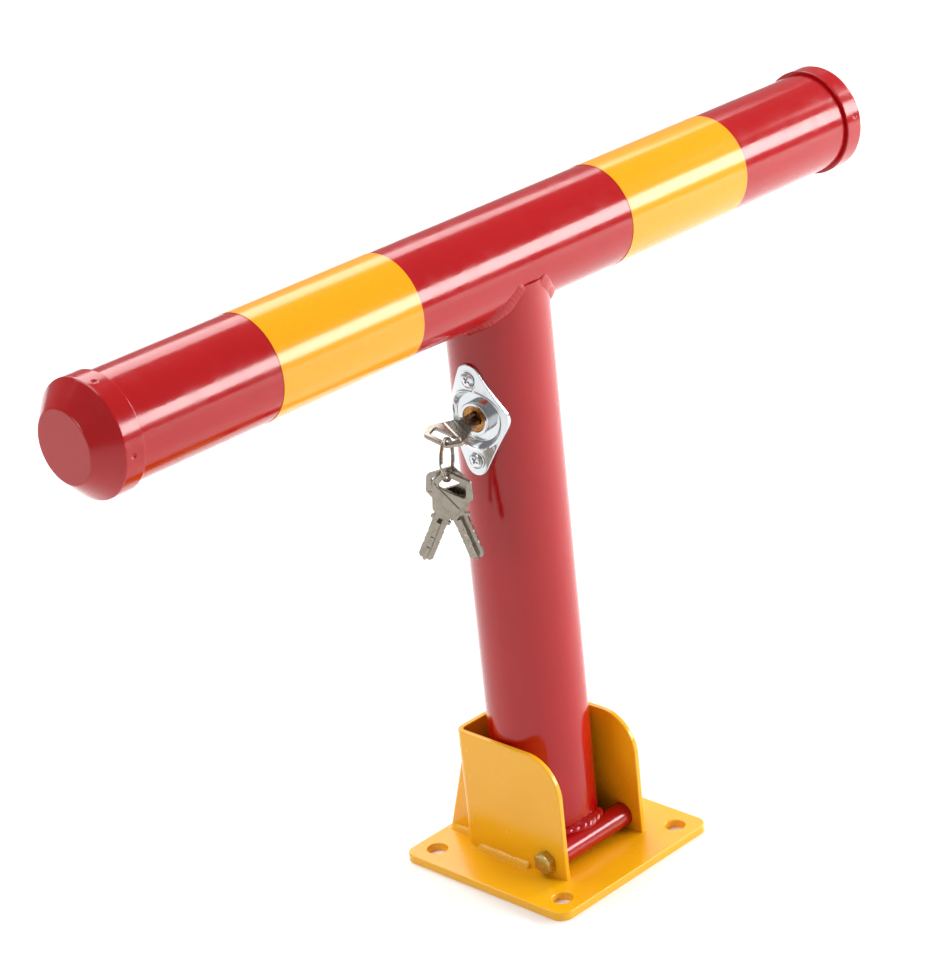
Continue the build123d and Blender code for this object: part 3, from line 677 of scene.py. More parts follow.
# ------------------------------------------------------------------ weld beads
@dataclass(frozen=True)
class WeldBead:
    """A fillet weld run in the corner between two surfaces, laid as overlapping ripples.

    Args:
        leg: how far the bead reaches along each surface.
        ripple: distance from one ripple's crest to the next.
        depth: height of the ripples as a fraction of the leg.
        wander: how much the bead's width drifts, as a fraction of the leg.
    """

    leg: float
    ripple: float = 2.2
    depth: float = 0.13
    wander: float = 0.08

    def run(self, path: np.ndarray, first: np.ndarray, second: np.ndarray, seed: float = 0.0) -> Shell:
        """Carry the bead's section along a path.

        The section's radius is leg / (cos a + sin a) ** 0.45 between the two surfaces, times a
        ripple whose crests curve backwards, times a slow drift, and it shrinks to nothing at
        both ends of the path as an ellipse does.

        Args:
            path: points along the corner.
            first: outward normals of the first surface at those points.
            second: outward normals of the second surface.
            seed: moves the drift along, so that no two beads match.

        Returns:
            A closed shell.
        """
        steps = np.linalg.norm(np.diff(path, axis=0), axis=1)
        along = np.concatenate([[0], np.cumsum(steps)])
        dense = np.linspace(0, along[-1], max(24, int(along[-1] / 0.28)))
        path, first, second = (
            np.stack([np.interp(dense, along, values[:, k]) for k in range(3)], axis=-1)
            for values in (path, first, second)
        )
        first, second = unit(first), unit(second)
        heading = unit(np.gradient(path, axis=0))
        on_first = unit(np.cross(first, heading))
        on_first *= np.sign(np.sum(on_first * second, axis=-1, keepdims=True))
        on_second = unit(np.cross(second, heading))
        on_second *= np.sign(np.sum(on_second * first, axis=-1, keepdims=True))
        angle = np.radians(np.linspace(-14, 104, 26))[None, :]
        place = dense[:, None]
        crest = place / self.ripple + 0.9 * (angle / (np.pi / 2) - 0.5) ** 2
        drift = np.sin(place / 5.1 + seed) + 0.6 * np.sin(place / 2.3 + 2 * seed)
        swell = 1 + self.depth * (np.abs(np.sin(np.pi * crest)) - 0.6) + self.wander * drift
        tip = np.sqrt(np.clip(np.minimum(place, dense[-1] - place) / (0.8 * self.leg), 0, 1))
        taper = np.sin(np.pi / 2 * tip)
        bulge = (np.cos(angle).clip(0) + np.sin(angle).clip(0)) ** 0.45
        radius = self.leg * swell * taper / bulge
        section = (
            path[:, None]
            + (radius * np.cos(angle))[..., None] * on_first[:, None]
            + (radius * np.sin(angle))[..., None] * on_second[:, None]
        )
        root = path[:, None] - 0.25 * taper[..., None] * (first + second)[:, None]
        return Shell(np.concatenate([section, root], axis=1), columns_close=True)

    def straight(self, start: Sequence[float], end: Sequence[float], wall: Sequence[float]) -> Shell:
        """A run from start to end on a floor, against a wall that faces the given way."""
        ends = np.array([start, end], float)
        return self.run(ends, np.array([UP, UP]), np.array([wall, wall], float), sum(start))


# ------------------------------------------------------------------ hexagon fasteners
@dataclass(frozen=True)
class HexFastener:
    """A hexagon head or nut with its corners turned off, and a screw thread.

    Args:
        flats: distance across the flats.
        thread_r: outer radius of the thread.
        pitch: thread pitch.
    """

    flats: float = 12.0
    thread_r: float = 4.0
    pitch: float = 1.25

    def hexagon(self, axes: Axes, height: float, bore: float, dome: float) -> Shell:
        """A hexagon from out = 0 to its height.

        The radius is that of the hexagon, flats / 2 / cos(angle from the middle of a flat), or
        that of the turned cone where the cone is smaller.

        Args:
            axes: origin on the seat, out away from it.
            height: thickness of the hexagon.
            bore: radius of its hole, or 0.
            dome: how far the middle of the top stands above its turned edge.

        Returns:
            A closed shell.
        """
        angle = np.linspace(0, TURN, 144, endpoint=False)[:, None]
        flat = self.flats / 2 / np.cos((angle + np.pi / 6) % (np.pi / 3) - np.pi / 6)
        corner, face = self.flats / 2 / np.cos(np.pi / 6), self.flats / 2 * 0.94
        level = np.array([0.0, 0.0, 0.25, height - 1.2, height - 0.8, height - 0.45, height - 0.15, height])
        cone = np.array([0, face, corner + 0.3, corner + 0.3, corner, corner - 0.35, face, face - 0.4])
        inward = np.linspace(face - 0.8, bore, 6)
        cone = np.concatenate([cone, inward])
        level = np.concatenate([level, height + dome * (1 - (inward / face) ** 2)])
        if bore:
            cone[0] = bore
        radius = np.minimum(flat, cone)
        shell = axes.at(radius * np.cos(angle), radius * np.sin(angle), level + 0 * angle)
        return Shell(shell, rows_close=True, columns_close=bool(bore))

    def thread(self, axes: Axes, length: float) -> Shell:
        """A threaded rod from out = 0 to its length.

        The radius falls by a triangle wave of out / pitch - angle / one turn, and by a chamfer
        over the last pitch.

        Args:
            axes: origin at the rod's start, out along it.
            length: how long the rod is.

        Returns:
            A closed shell.
        """
        angle = np.linspace(0, TURN, 72, endpoint=False)[:, None]
        out = np.linspace(0, length, max(8, int(length / 0.12)))[None, :]
        wave = np.abs(((out / self.pitch - angle / TURN) % 1) - 0.5) * 2
        radius = self.thread_r - 0.5 * self.pitch * wave
        radius = np.minimum(radius, self.thread_r - 0.9 + (length - out))
        radius = np.concatenate([0 * angle, radius, 0 * angle], axis=1)
        out = np.concatenate([[[0.0]], out, [[length]]], axis=1) + 0 * angle
        return Shell(axes.at(radius * np.cos(angle), radius * np.sin(angle), out), rows_close=True)


def corner_boxes(node: str) -> tuple[np.ndarray, np.ndarray]:
    """Lowest and highest corners of a CAD node, in millimetres."""
    low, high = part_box(node)
    return np.array(low) / MM, np.array(high) / MM


def joint_axis(name: str) -> tuple[np.ndarray, np.ndarray]:
    """A joint's place, in millimetres, and its axis, from the frame."""
    joint = next(j for j in frame["joints"] if j["name"] == name)
    return np.array(joint["pos_m"]) / MM, np.array(joint["axis"], float)


# ------------------------------------------------------------------ foot
@dataclass
class Foot:
    """The welds of the bolted plate and its folded bracket, which are themselves CAD nodes."""

    shop: Workshop
    bead: WeldBead = WeldBead(3.3, 3.0, 0.035, 0.07)
    stitch_start: float = -12.0
    stitch_end: float = 30.0
    end_gap: float = 1.5

    def build(self) -> None:
        """Lay every fillet run between the plate, the bracket and the gussets."""
        top = corner_boxes("base_plate")[1][2]
        _, cheek = corner_boxes("pivot_bracket")
        rib_low, rib_high = corner_boxes("gusset_right")
        back = cheek[1]
        runs = []
        for side in (-1, 1):
            near, far = (side * cheek[0], self.stitch_start, top), (side * cheek[0], self.stitch_end, top)
            runs.append(self.bead.straight(near, far, (side, 0, 0)))
            rib = side * rib_high[0]
            foot = rib_high[1] - self.end_gap
            runs.append(self.bead.straight((rib, back, top), (rib, foot, top), (side, 0, 0)))
        inside = rib_low[0] - self.end_gap
        runs.append(self.bead.straight((-inside, back, top), (inside, back, top), (0, 1, 0)))
        self.shop.add("bracket_weld_beads", runs, Slot.AMBER, "base", ["bracket_welds"])


@dataclass
class Pivot:
    """The bolt that the post folds on, its nut, and the weld over the post's pivot tube."""

    shop: Workshop
    hexes: HexFastener = HexFastener()
    head_t: float = 5.0
    nut_t: float = 6.5
    head_dome: float = 0.4
    thread_hidden: float = 1.0
    bead: WeldBead = WeldBead(4.2, 4.4, 0.12, 0.12)

    def facing(self, x: float, side: int) -> Axes:
        """Axes on the pivot line at x, with out towards that side."""
        _, y, z = joint_axis("post_fold")[0]
        return Axes(np.array([x, y, z]), np.array([0, side, 0.0]), UP, np.array([side, 0, 0.0]))

    def build(self) -> None:
        """Make the bolt, the nut and the bead."""
        low, high = corner_boxes("pivot_washer")
        cheek_low, _ = corner_boxes("pivot_bracket")
        _, tail = corner_boxes("pivot_bolt")
        head = self.hexes.hexagon(self.facing(cheek_low[0], -1), self.head_t, 0.0, self.head_dome)
        plain = high[0] + self.nut_t - self.thread_hidden - cheek_low[0]
        radius = self.hexes.thread_r * np.array([0, 1, 1, 0])
        shank = self.facing(cheek_low[0], 1).revolve(radius, np.array([-1.0, -1.0, plain, plain]), 64)
        start = cheek_low[0] + plain
        thread = self.hexes.thread(self.facing(start, 1), tail[0] - start)
        self.shop.add("pivot_bolt_visual", [head, shank, thread], Slot.ZINC, "base", ["pivot_bolt"])
        bore = self.hexes.thread_r + 0.02
        nut = self.hexes.hexagon(self.facing(high[0], 1), self.nut_t, bore, 0.0)
        self.shop.add("pivot_nut_visual", [nut], Slot.ZINC, "base", ["pivot_nut"])
        self.build_bead()

    def build_bead(self) -> None:
        """Lay the bead where the post meets its pivot tube.

        The corner is the line that both cylinders hold: it goes round the post's axis by an
        angle, and its height is that of the tube's top above the same place.
        """
        post_low, post_high = corner_boxes("post_tube")
        tube_low, tube_high = corner_boxes("pivot_tube")
        axis_y = (post_low[1] + post_high[1]) / 2
        post_r = (post_high[0] - post_low[0]) / 2
        tube_r = (tube_high[2] - tube_low[2]) / 2
        middle = (tube_low + tube_high) / 2
        limit = np.arccos((axis_y - middle[1] - tube_r) / post_r)
        round_post = np.linspace(-limit, limit, 120)
        y = axis_y - post_r * np.cos(round_post)
        rise = np.sqrt(np.clip(tube_r**2 - (y - middle[1]) ** 2, 0, None))
        path = np.stack([post_r * np.sin(round_post), y, middle[2] + rise], axis=-1)
        post_normal = np.stack([np.sin(round_post), -np.cos(round_post), 0 * y], axis=-1)
        tube_normal = np.stack([0 * y, y - middle[1], rise], axis=-1) / tube_r
        weld = self.bead.run(path, post_normal, tube_normal, 2.0)
        self.shop.add("pivot_weld_bead", [weld], Slot.RED, "post", ["pivot_weld"])


# ------------------------------------------------------------------ crossbar
def bar_axes(node: str, side: int) -> Axes:
    """Axes on the middle line of a piece of the crossbar: up is its right, out points to side."""
    middle = np.mean(corner_boxes(node), axis=0) * (0, 1, 1)
    return Axes(middle, UP, np.array([0, -1.0, 0]), np.array([side, 0, 0.0]))


@dataclass
class EndCap:
    """A pressed cup over one end of the bar, staked to it.

    Args:
        side: -1 for the end at -X, 1 for the other.
        stake_angle: angle of the first stake from the top, towards the front, in degrees.
    """

    shop: Workshop
    side: int
    stake_angle: float
    stake_pitch: float = 79.0
    stake_x: float = 286.6
    stake_r: float = 1.3
    stake_depth: float = 0.85
    skirt_x: float = 279.0
    shoulder_x: float = 291.5
    face_x: float = 303.5
    face_r: float = 20.0
    inner_r: float = 30.05
    wall: float = 2.1

    def build(self, node: str) -> None:
        """Revolve the cup's section, and press the stakes into its skirt.

        A stake lowers the skin by its depth times exp(-(distance / radius) to the fourth).

        Args:
            node: the CAD node that the cap stands for.
        """
        axes = bar_axes(node, self.side)
        outer = self.inner_r + self.wall
        outside = rounded(
            [
                (self.face_x, 0, 0),
                (self.face_x, self.face_r, 1.6),
                (self.shoulder_x, outer, 1.7),
                (self.skirt_x, outer, 0.7),
                (self.skirt_x, self.inner_r, 0),
            ],
            closed=False,
        )
        outside = finer(outside, 0.5)
        inside = np.array(
            [
                (self.shoulder_x - 1, self.inner_r),
                (self.face_x - self.wall, self.face_r - 1),
                (self.face_x - self.wall, 0),
            ]
        )
        stakes = self.stake_angle + self.stake_pitch * np.arange(4)
        near = (stakes[:, None] + np.linspace(-5, 5, 29)).ravel() % 360
        angle = np.radians(np.unique(np.concatenate([np.arange(0, 360, 2.0), near]).round(3)))[:, None]
        x, radius = np.concatenate([outside, inside]).T[:, None]
        apart = (angle[..., None] - np.radians(stakes) + np.pi) % TURN - np.pi
        distance = np.hypot(apart * outer, x[..., None] - self.stake_x)
        dent = self.stake_depth * np.exp(-((distance / self.stake_r) ** 4)).sum(axis=-1)
        radius = radius - np.where(radius > self.inner_r + 0.5, dent, 0)
        points = axes.at(radius * np.cos(angle), radius * np.sin(angle), x + 0 * angle)
        self.shop.add(f"{node}_pressing", [Shell(points, rows_close=True)], Slot.RED, "post", [node])


@dataclass
class Band:
    """A turn of reflective tape round the bar, lapped at the back.

    Args:
        node: the CAD node it stands for.
    """

    shop: Workshop
    node: str
    thickness: float = 0.24
    glue: float = 0.01
    lap: float = 0.42
    seam: float = 3.9

    def build(self) -> None:
        """Wrap the tape: its radius is the bar's, plus one thickness where the end laps over."""
        low, high = corner_boxes(self.node)
        axes = bar_axes(self.node, 1)
        radius = (high[2] - low[2]) / 2 - self.thickness
        turn = np.linspace(0, TURN + self.lap, 210)[:, None]
        lift = (self.thickness + self.glue) * step_up(turn, TURN - 0.05, TURN + 0.01)
        top = np.array([0, 1, 1, 0])[None, :]
        edge = np.array([low[0], low[0], high[0], high[0]])[None, :]
        shape = radius + lift + self.thickness * top
        shape[[0, -1]] = (shape[[0, -1]].min(axis=1) + shape[[0, -1]].max(axis=1))[:, None] / 2
        angle = turn + self.seam
        points = axes.at(shape * np.cos(angle), shape * np.sin(angle), edge + 0 * angle)
        tape = Shell(points, columns_close=True)
        self.shop.add(f"{self.node}_tape", [tape], Slot.TAPE, "post", [self.node])


@dataclass
class Crossbar:
    """The bar's caps, tapes and the saddle weld under it; the tubes are CAD nodes."""

    shop: Workshop
    bead: WeldBead = WeldBead(3.4, 2.6, 0.1, 0.1)
    start_angle: float = 14.0

    def build(self) -> None:
        """Make both caps, both tapes and the weld."""
        EndCap(self.shop, -1, 18.0).build("end_cap_left")
        EndCap(self.shop, 1, 78.5).build("end_cap_right")
        for node in ("reflective_band_left", "reflective_band_right"):
            Band(self.shop, node).build()
        self.build_saddle()

    def build_saddle(self) -> None:
        """Lay one bead on each side, where the post's coped end meets the bar.

        Both tubes have radius r, so a point at angle a round the post lies r |sin a| below the
        bar's middle.
        """
        low, high = corner_boxes("crossbar_tube")
        middle = (low + high) / 2
        radius = (high[2] - low[2]) / 2
        runs = []
        for side in (-1, 1):
            angle = np.radians(np.linspace(self.start_angle, 180 - self.start_angle, 160))
            across, depth = side * np.sin(angle), np.cos(angle)
            drop = -np.abs(across)
            path = middle + radius * np.stack([across, depth, drop], axis=-1)
            post_normal = np.stack([across, depth, 0 * angle], axis=-1)
            bar_normal = np.stack([0 * angle, depth, drop], axis=-1)
            runs.append(self.bead.run(path, post_normal, bar_normal, side))
        self.shop.add("saddle_weld_beads", runs, Slot.RED, "post", ["crossbar_weld"])


# ------------------------------------------------------------------ lock
def lock_axes() -> Axes:
    """Axes on the lock's own line: out along it, up with the post."""
    place, out = joint_axis("plug_turn")
    return Axes(place, np.cross(UP, out), UP, out)


# Within an arm's end the reach is half_length / cos, and beside the arm half_width / sin, of the
# angle from that arm's middle.
def cross_reach(angle: np.ndarray, half_length: np.ndarray | float, half_width: float) -> np.ndarray:
    """How far a plus shape reaches in each direction."""
    off = np.abs((angle + np.pi / 4) % (np.pi / 2) - np.pi / 4)
    return np.minimum(half_length / np.cos(off), half_width / np.maximum(np.sin(off), 1e-6))


@dataclass
class Lock:
    """The pressed escutcheon, its screws, the lock's nose and the plug with its cross keyway."""

    shop: Workshop
    post_r: float = 30.0
    skin: float = 1.6
    half_height: float = 33.0
    half_width: float = 20.2
    tip_r: float = 8.0
    side_r: float = 13.0
    floor_out: float = 25.0
    floor_r: float = 14.4
    rim_r: float = 17.3
    hole_r: float = 9.15
    screw_pitch: float = 24.0
    screw_r: float = 3.9
    shank_r: float = 1.9
    shank_end: float = -7.0
    recess_half: float = 2.0
    recess_depth: float = 1.5
    seat_depth: float = 0.5
    edge_r: float = 0.45
    nose_r: float = 9.8
    nose_out: float = 29.8
    body_r: float = 9.0
    body_out: float = 6.0
    mouth_r: float = 7.66
    bore_r: float = 7.06
    plug_out: float = 29.4
    plug_head_r: float = 7.6
    plug_head_t: float = 1.6
    head_seat: float = 1.9
    plug_r: float = 7.0
    keyway_half: float = 4.75
    keyway_web: float = 1.45
    keyway_end: float = 8.5
    keyway_roll: float = KEY_ROLL
    axes: Axes = field(default_factory=lock_axes)

    def build(self) -> None:
        """Make the four visible pieces."""
        self.shop.add("escutcheon_pressing", [self.escutcheon()], Slot.CHROME, "post", ["lock_escutcheon"])
        screws = [part for up in (1, -1) for part in self.screw(up * self.screw_pitch)]
        self.shop.add("escutcheon_screw_pair", screws, Slot.CHROME, "post", ["escutcheon_screws"])
        self.shop.add("lock_nose", [self.nose()], Slot.CHROME, "post", ["lock_housing"])
        self.shop.add("plug_face", [self.plug()], Slot.BRASS, "plug", ["lock_plug"])

    def outline(self, angle: np.ndarray) -> np.ndarray:
        """Reach of the plate's outline: the hull of a round at each tip and each side.

        The hull reaches as far as its nearest tangent line allows, and a tangent that faces b
        lies at the largest of centre . b + radius.

        Args:
            angle: directions from the plate's middle, one row each.

        Returns:
            A distance for each direction.
        """
        wing, tip = self.half_width - self.side_r, self.half_height - self.tip_r
        centres = np.array([(0, tip), (0, -tip), (wing, 0), (-wing, 0)], float)
        radii = np.array([self.tip_r, self.tip_r, self.side_r, self.side_r])
        facing = np.linspace(0, TURN, 1440, endpoint=False)
        normals = np.stack([np.cos(facing), np.sin(facing)], axis=-1)
        tangent = (normals @ centres.T + radii).max(axis=1)
        lean = np.cos(angle - facing[None, :])
        return np.where(lean > 0.02, tangent / np.maximum(lean, 0.02), np.inf).min(axis=1, keepdims=True)

    def escutcheon(self) -> Shell:
        """The plate: bent round the post, with a round dish and two seats pressed into it.

        Its front is the post's curve sqrt(R squared - right squared), lowered to the dish floor
        by a smooth step, raised a little at the dish's rim and lowered at the screw seats, and
        its edge is a quarter round.

        Returns:
            A closed shell.
        """
        angle = np.linspace(0, TURN, 288, endpoint=False)[:, None]
        edge = self.outline(angle)
        dish = np.linspace(self.hole_r, self.rim_r + 0.8, 44)[None, :] + 0 * angle
        inner = dish[:, -1:]
        spread = inner + (edge - 0.6 - inner) * np.linspace(0.04, 1, 44)[None, :]
        lip = edge - np.array([[0.45, 0.3, 0.18, 0.08, 0.02, 0.0]])
        radius = np.concatenate([dish, spread, lip], axis=1)
        right, up = radius * np.cos(angle), radius * np.sin(angle)
        front = np.sqrt((self.post_r + self.skin) ** 2 - right**2)
        near_edge = 1 - np.clip((edge - radius) / 0.6, 0, 1)
        plate = front - self.edge_r * (1 - np.sqrt(1 - near_edge**2))
        to_screw = np.hypot(right, np.abs(up) - self.screw_pitch)
        plate = plate - self.seat_depth * (1 - step_up(to_screw, 4.1, 4.9))
        plate = plate + 0.14 * np.exp(-(((to_screw - 5.1) / 0.5) ** 2))
        wall = step_up(radius, self.floor_r, self.rim_r)
        shape = self.floor_out + (plate - self.floor_out) * wall
        shape = shape + 0.35 * np.exp(-(((radius - self.rim_r) / 0.7) ** 2))
        back = shape - np.where(radius < self.rim_r, self.skin, self.skin - 0.12)
        sides = self.axes.at(right, up, shape), self.axes.at(right, up, back)[:, ::-1]
        points = np.concatenate(sides, axis=1)
        return Shell(points, rows_close=True, columns_close=True)

    def screw(self, up: float) -> list[Shell]:
        """A pan-head screw with a cross recess, and its shank.

        The head's top is a flat dome, lowered inside a plus whose walls are steep steps.

        Args:
            up: how far the screw stands above the lock's axis.

        Returns:
            The head and the shank, each a closed shell.
        """
        axes = self.axes.moved(up=up, out=self.post_r + self.skin)
        angle = np.linspace(0, TURN, 96, endpoint=False)[:, None]
        radius = np.linspace(0, self.screw_r, 44)[None, :] + 0 * angle
        top = 1.25 * np.sqrt(np.clip(1 - (radius / (self.screw_r + 0.25)) ** 2, 0, 1)) - 0.1
        right, rise = radius * np.cos(angle + 0.6), radius * np.sin(angle + 0.6)
        near, far = self.recess_half - 0.3, self.recess_half + 0.3
        slots = [
            (1 - step_up(np.abs(a), 0.4, 0.62)) * (1 - step_up(np.abs(b), near, far))
            for a, b in ((right, rise), (rise, right))
        ]
        top = top - self.recess_depth * np.maximum(*slots)
        side = np.concatenate([radius, radius[:, -1:], 0 * angle], axis=1)
        height = np.concatenate([top, 0 * angle - 0.55, 0 * angle - 0.55], axis=1)
        head = Shell(axes.at(side * np.cos(angle), side * np.sin(angle), height), rows_close=True)
        level = np.array([self.shank_end, self.shank_end + 1, -0.3, -0.3])
        shank = axes.revolve(self.shank_r * np.array([0, 1, 1, 0]), level, 32)
        return [head, shank]

    def nose(self) -> Shell:
        """The lock body, revolved: a stepped outside, a turned-off nose and the plug's bore.

        Returns:
            A closed shell with a hole through it.
        """
        bore_end = self.plug_out - self.head_seat
        profile = rounded(
            [
                (self.body_r, self.body_out, 0.4),
                (self.body_r, self.floor_out - 0.1, 0),
                (self.nose_r, self.floor_out - 0.1, 0),
                (self.nose_r, self.nose_out, 0.8),
                (self.mouth_r, self.nose_out, 0.35),
                (self.mouth_r, bore_end, 0),
                (self.bore_r, bore_end, 0),
                (self.bore_r, self.body_out, 0.2),
            ],
            closed=True,
        )
        profile = finer(profile, 1.5, closed=True)
        turned = self.axes.revolve(profile[:, 0], profile[:, 1], 128)
        return Shell(turned.points, rows_close=True, columns_close=True)

    def plug(self) -> Shell:
        """The plug: a cross keyway, a face with one turned groove, a head and a plain body.

        Returns:
            A closed shell.
        """
        arm = np.arctan2(self.keyway_web, self.keyway_half)
        corners = np.arange(4)[:, None] * np.pi / 2 + np.array([-arm, arm, np.pi / 4])
        even = np.linspace(0, TURN, 180, endpoint=False)
        angle = np.unique(np.concatenate([even, corners.ravel() % TURN]).round(5))[:, None]
        slot = cross_reach(angle, self.keyway_half, self.keyway_web)
        face = np.array([[5.2, 5.8, 6.0, 6.2, 6.4, 7.0, self.plug_head_r - 0.3, self.plug_head_r]])
        depth = np.array([[0, 0, -0.16, -0.16, 0, 0, 0, -0.3]])
        shoulder = self.plug_out - self.plug_head_t
        zero, one = 0 * angle, 0 * angle + 1
        radius = np.concatenate(
            [
                zero,
                slot,
                slot,
                slot + 0.2,
                face * one,
                self.plug_head_r * one,
                self.plug_r * one,
                self.plug_r * one,
                zero,
            ],
            axis=1,
        )
        out = np.concatenate(
            [
                self.keyway_end * one,
                self.keyway_end * one,
                (self.plug_out - 0.2) * one,
                self.plug_out * one,
                (self.plug_out + depth) * one,
                shoulder * one,
                shoulder * one,
                self.body_out * one,
                self.body_out * one,
            ],
            axis=1,
        )
        angle = angle + np.radians(self.keyway_roll)
        return Shell(self.axes.at(radius * np.cos(angle), radius * np.sin(angle), out), rows_close=True)


# ------------------------------------------------------------------ keys
def mirrored(half: Sequence[tuple[float, float]], radius: float) -> np.ndarray:
    """A closed outline, rounded and finely divided, from its corners on one side of the middle."""
    corners = [(x, y, radius) for x, y in half] + [(x, -y, radius) for x, y in half[::-1]]
    return finer(rounded(corners, closed=True), 0.3, closed=True)


@dataclass
class Key:
    """A cross-bladed key: a flat bow with a slot and a raised band, a shouldered neck, a blade.

    In its own axes right runs from the blade to the bow's far end and out is its thickness.
    """

    shop: Workshop
    axes: Axes
    body: str
    node: str
    cut_seed: int = 0
    bow_length: float = 26.0
    bow_half: float = 12.5
    end_half: float = 8.0
    root_half: float = 6.0
    wide_at: float = 9.0
    corner: float = 2.8
    slot_corner: float = 1.5
    half_t: float = 1.1
    rim: float = 3.2
    slot_depth: float = 7.9
    slot_end_half: float = 6.2
    slot_root_half: float = 8.6
    edge_r: float = 0.45
    band_at: float = -17.5
    band_half: float = 2.6
    band_slant: float = 24.0
    band_rise: float = 0.28
    neck: float = 4.0
    ear_half: float = 5.9
    ear_length: float = 2.0
    blade_length: float = 25.0
    blade_half: float = 4.5
    blade_web: float = 1.25
    cut_pitch: float = 3.4

    def build(self) -> None:
        """Make the whole key as one piece."""
        shells = [self.bow(), self.shoulder(), self.blade()]
        self.shop.add(f"{self.node}_cut", shells, Slot.NICKEL, self.body, [self.node])

    def bow(self) -> Shell:
        """The bow: a ring between two outlines, with round edges and a raised band.

        At a share s of the way from the slot to the outside, both faces stand half_t out, less
        a quarter round at each edge, plus the band where the place lies inside its slanted strip.

        Returns:
            A closed shell with a hole through it.
        """
        near, far = -self.rim, -self.rim - self.slot_depth
        outer = [(0, self.end_half), (-self.wide_at, self.bow_half), (-self.bow_length, self.root_half)]
        inner = [(near, self.slot_end_half), (far, self.slot_root_half)]
        outline = mirrored(outer, self.corner)
        slot = mirrored(inner, self.slot_corner)
        centre = np.array([(near + far) / 2, 0])
        angle = np.linspace(0, TURN, 300, endpoint=False)[:, None]
        inside, outside = reach_at(slot, centre, angle), reach_at(outline, centre, angle)
        share = (0.5 - 0.5 * np.cos(np.linspace(0, np.pi, 46)))[None, :]
        radius = inside + (outside - inside) * share
        x, y = centre[0] + radius * np.cos(angle), radius * np.sin(angle)
        face = self.half_t + 0 * radius
        for edge in (radius - inside, outside - radius):
            missing = 1 - np.clip(edge / self.edge_r, 0, 1)
            face = face - self.edge_r * (1 - np.sqrt(1 - missing**2))
        slant = np.radians(self.band_slant)
        along = (x - self.band_at) * np.cos(slant) - y * np.sin(slant)
        clear = step_up(outside - radius, 1.0, 1.7) * step_up(radius - inside, 0.8, 1.3)
        band = 1 - step_up(np.abs(along), self.band_half - 0.25, self.band_half + 0.25)
        groove = np.exp(-(((np.abs(along) - self.band_half - 0.6) / 0.35) ** 2))
        face = face + (self.band_rise * band - 0.12 * groove) * clear
        front, back = self.axes.at(x, y, face), self.axes.at(x, y, -face)
        points = np.concatenate([front, back[:, ::-1]], axis=1)
        return Shell(points, rows_close=True, columns_close=True)

    def shoulder(self) -> Shell:
        """The neck and its two ears: a rounded bar whose width steps out at the shoulder.

        Each section is a superellipse of power 6 with the half width and thickness listed.

        Returns:
            A closed shell.
        """
        root = -self.bow_length - self.neck
        ear = root + self.ear_length
        neck_half = self.blade_half + 0.35
        stations = np.array(
            [
                (-self.bow_length + 1.6, 0, 0),
                (-self.bow_length + 1.6, neck_half + 0.4, 0.98),
                (-self.bow_length, neck_half, 1.17),
                (ear + 0.25, neck_half - 0.2, 1.17),
                (ear, self.ear_half - 0.25, 1.19),
                (ear - 0.2, self.ear_half, 1.19),
                (root + 0.2, self.ear_half, 1.19),
                (root, self.ear_half - 0.25, 1.14),
                (root, 0, 0),
            ]
        )
        x, width, height = stations.T[:, :, None]
        angle = np.linspace(0, TURN, 64, endpoint=False)[None, :]
        across = np.sign(np.cos(angle)) * np.abs(np.cos(angle)) ** (1 / 3)
        rise = np.sign(np.sin(angle)) * np.abs(np.sin(angle)) ** (1 / 3)
        return Shell(self.axes.at(x + 0 * angle, width * across, height * rise), columns_close=True)

    def blade(self) -> Shell:
        """The blade: a plus section carried along, with notches cut into its four ribs.

        A rib's reach falls by each notch's depth times the clipped triangle of the distance from
        the notch, and by a taper over the tip.

        Returns:
            A closed shell.
        """
        root = -self.bow_length - self.neck + 0.3
        tip = -self.bow_length - self.neck - self.blade_length
        x = np.linspace(root, tip, 90)[:, None]
        angle = np.linspace(0, TURN, 144, endpoint=False)[None, :]
        rib = (np.round(angle / (np.pi / 2)) % 4).astype(int)
        half = self.blade_half + 0 * (x + angle)
        for notch in range(4):
            depth = 0.15 + 0.16 * ((rib * 3 + notch * 2 + self.cut_seed) % 4)
            place = root - 5.5 - self.cut_pitch * notch
            half = half - depth * np.clip(1.35 - np.abs(x - place), 0, 0.8) / 0.8
        nose = 1 - 0.28 * step_up(-(x - tip - 2.2), 0, 2.2)
        radius = cross_reach(angle + 0 * x, half, self.blade_web) * nose
        radius = radius * (1 - 0.04 * (radius > self.blade_half * 0.98))
        radius = np.concatenate([0 * angle, radius, 0 * angle])
        x = np.concatenate([x[:1], x, x[-1:]])
        points = self.axes.at(x + 0 * angle, radius * np.cos(angle), radius * np.sin(angle))
        return Shell(points, columns_close=True)


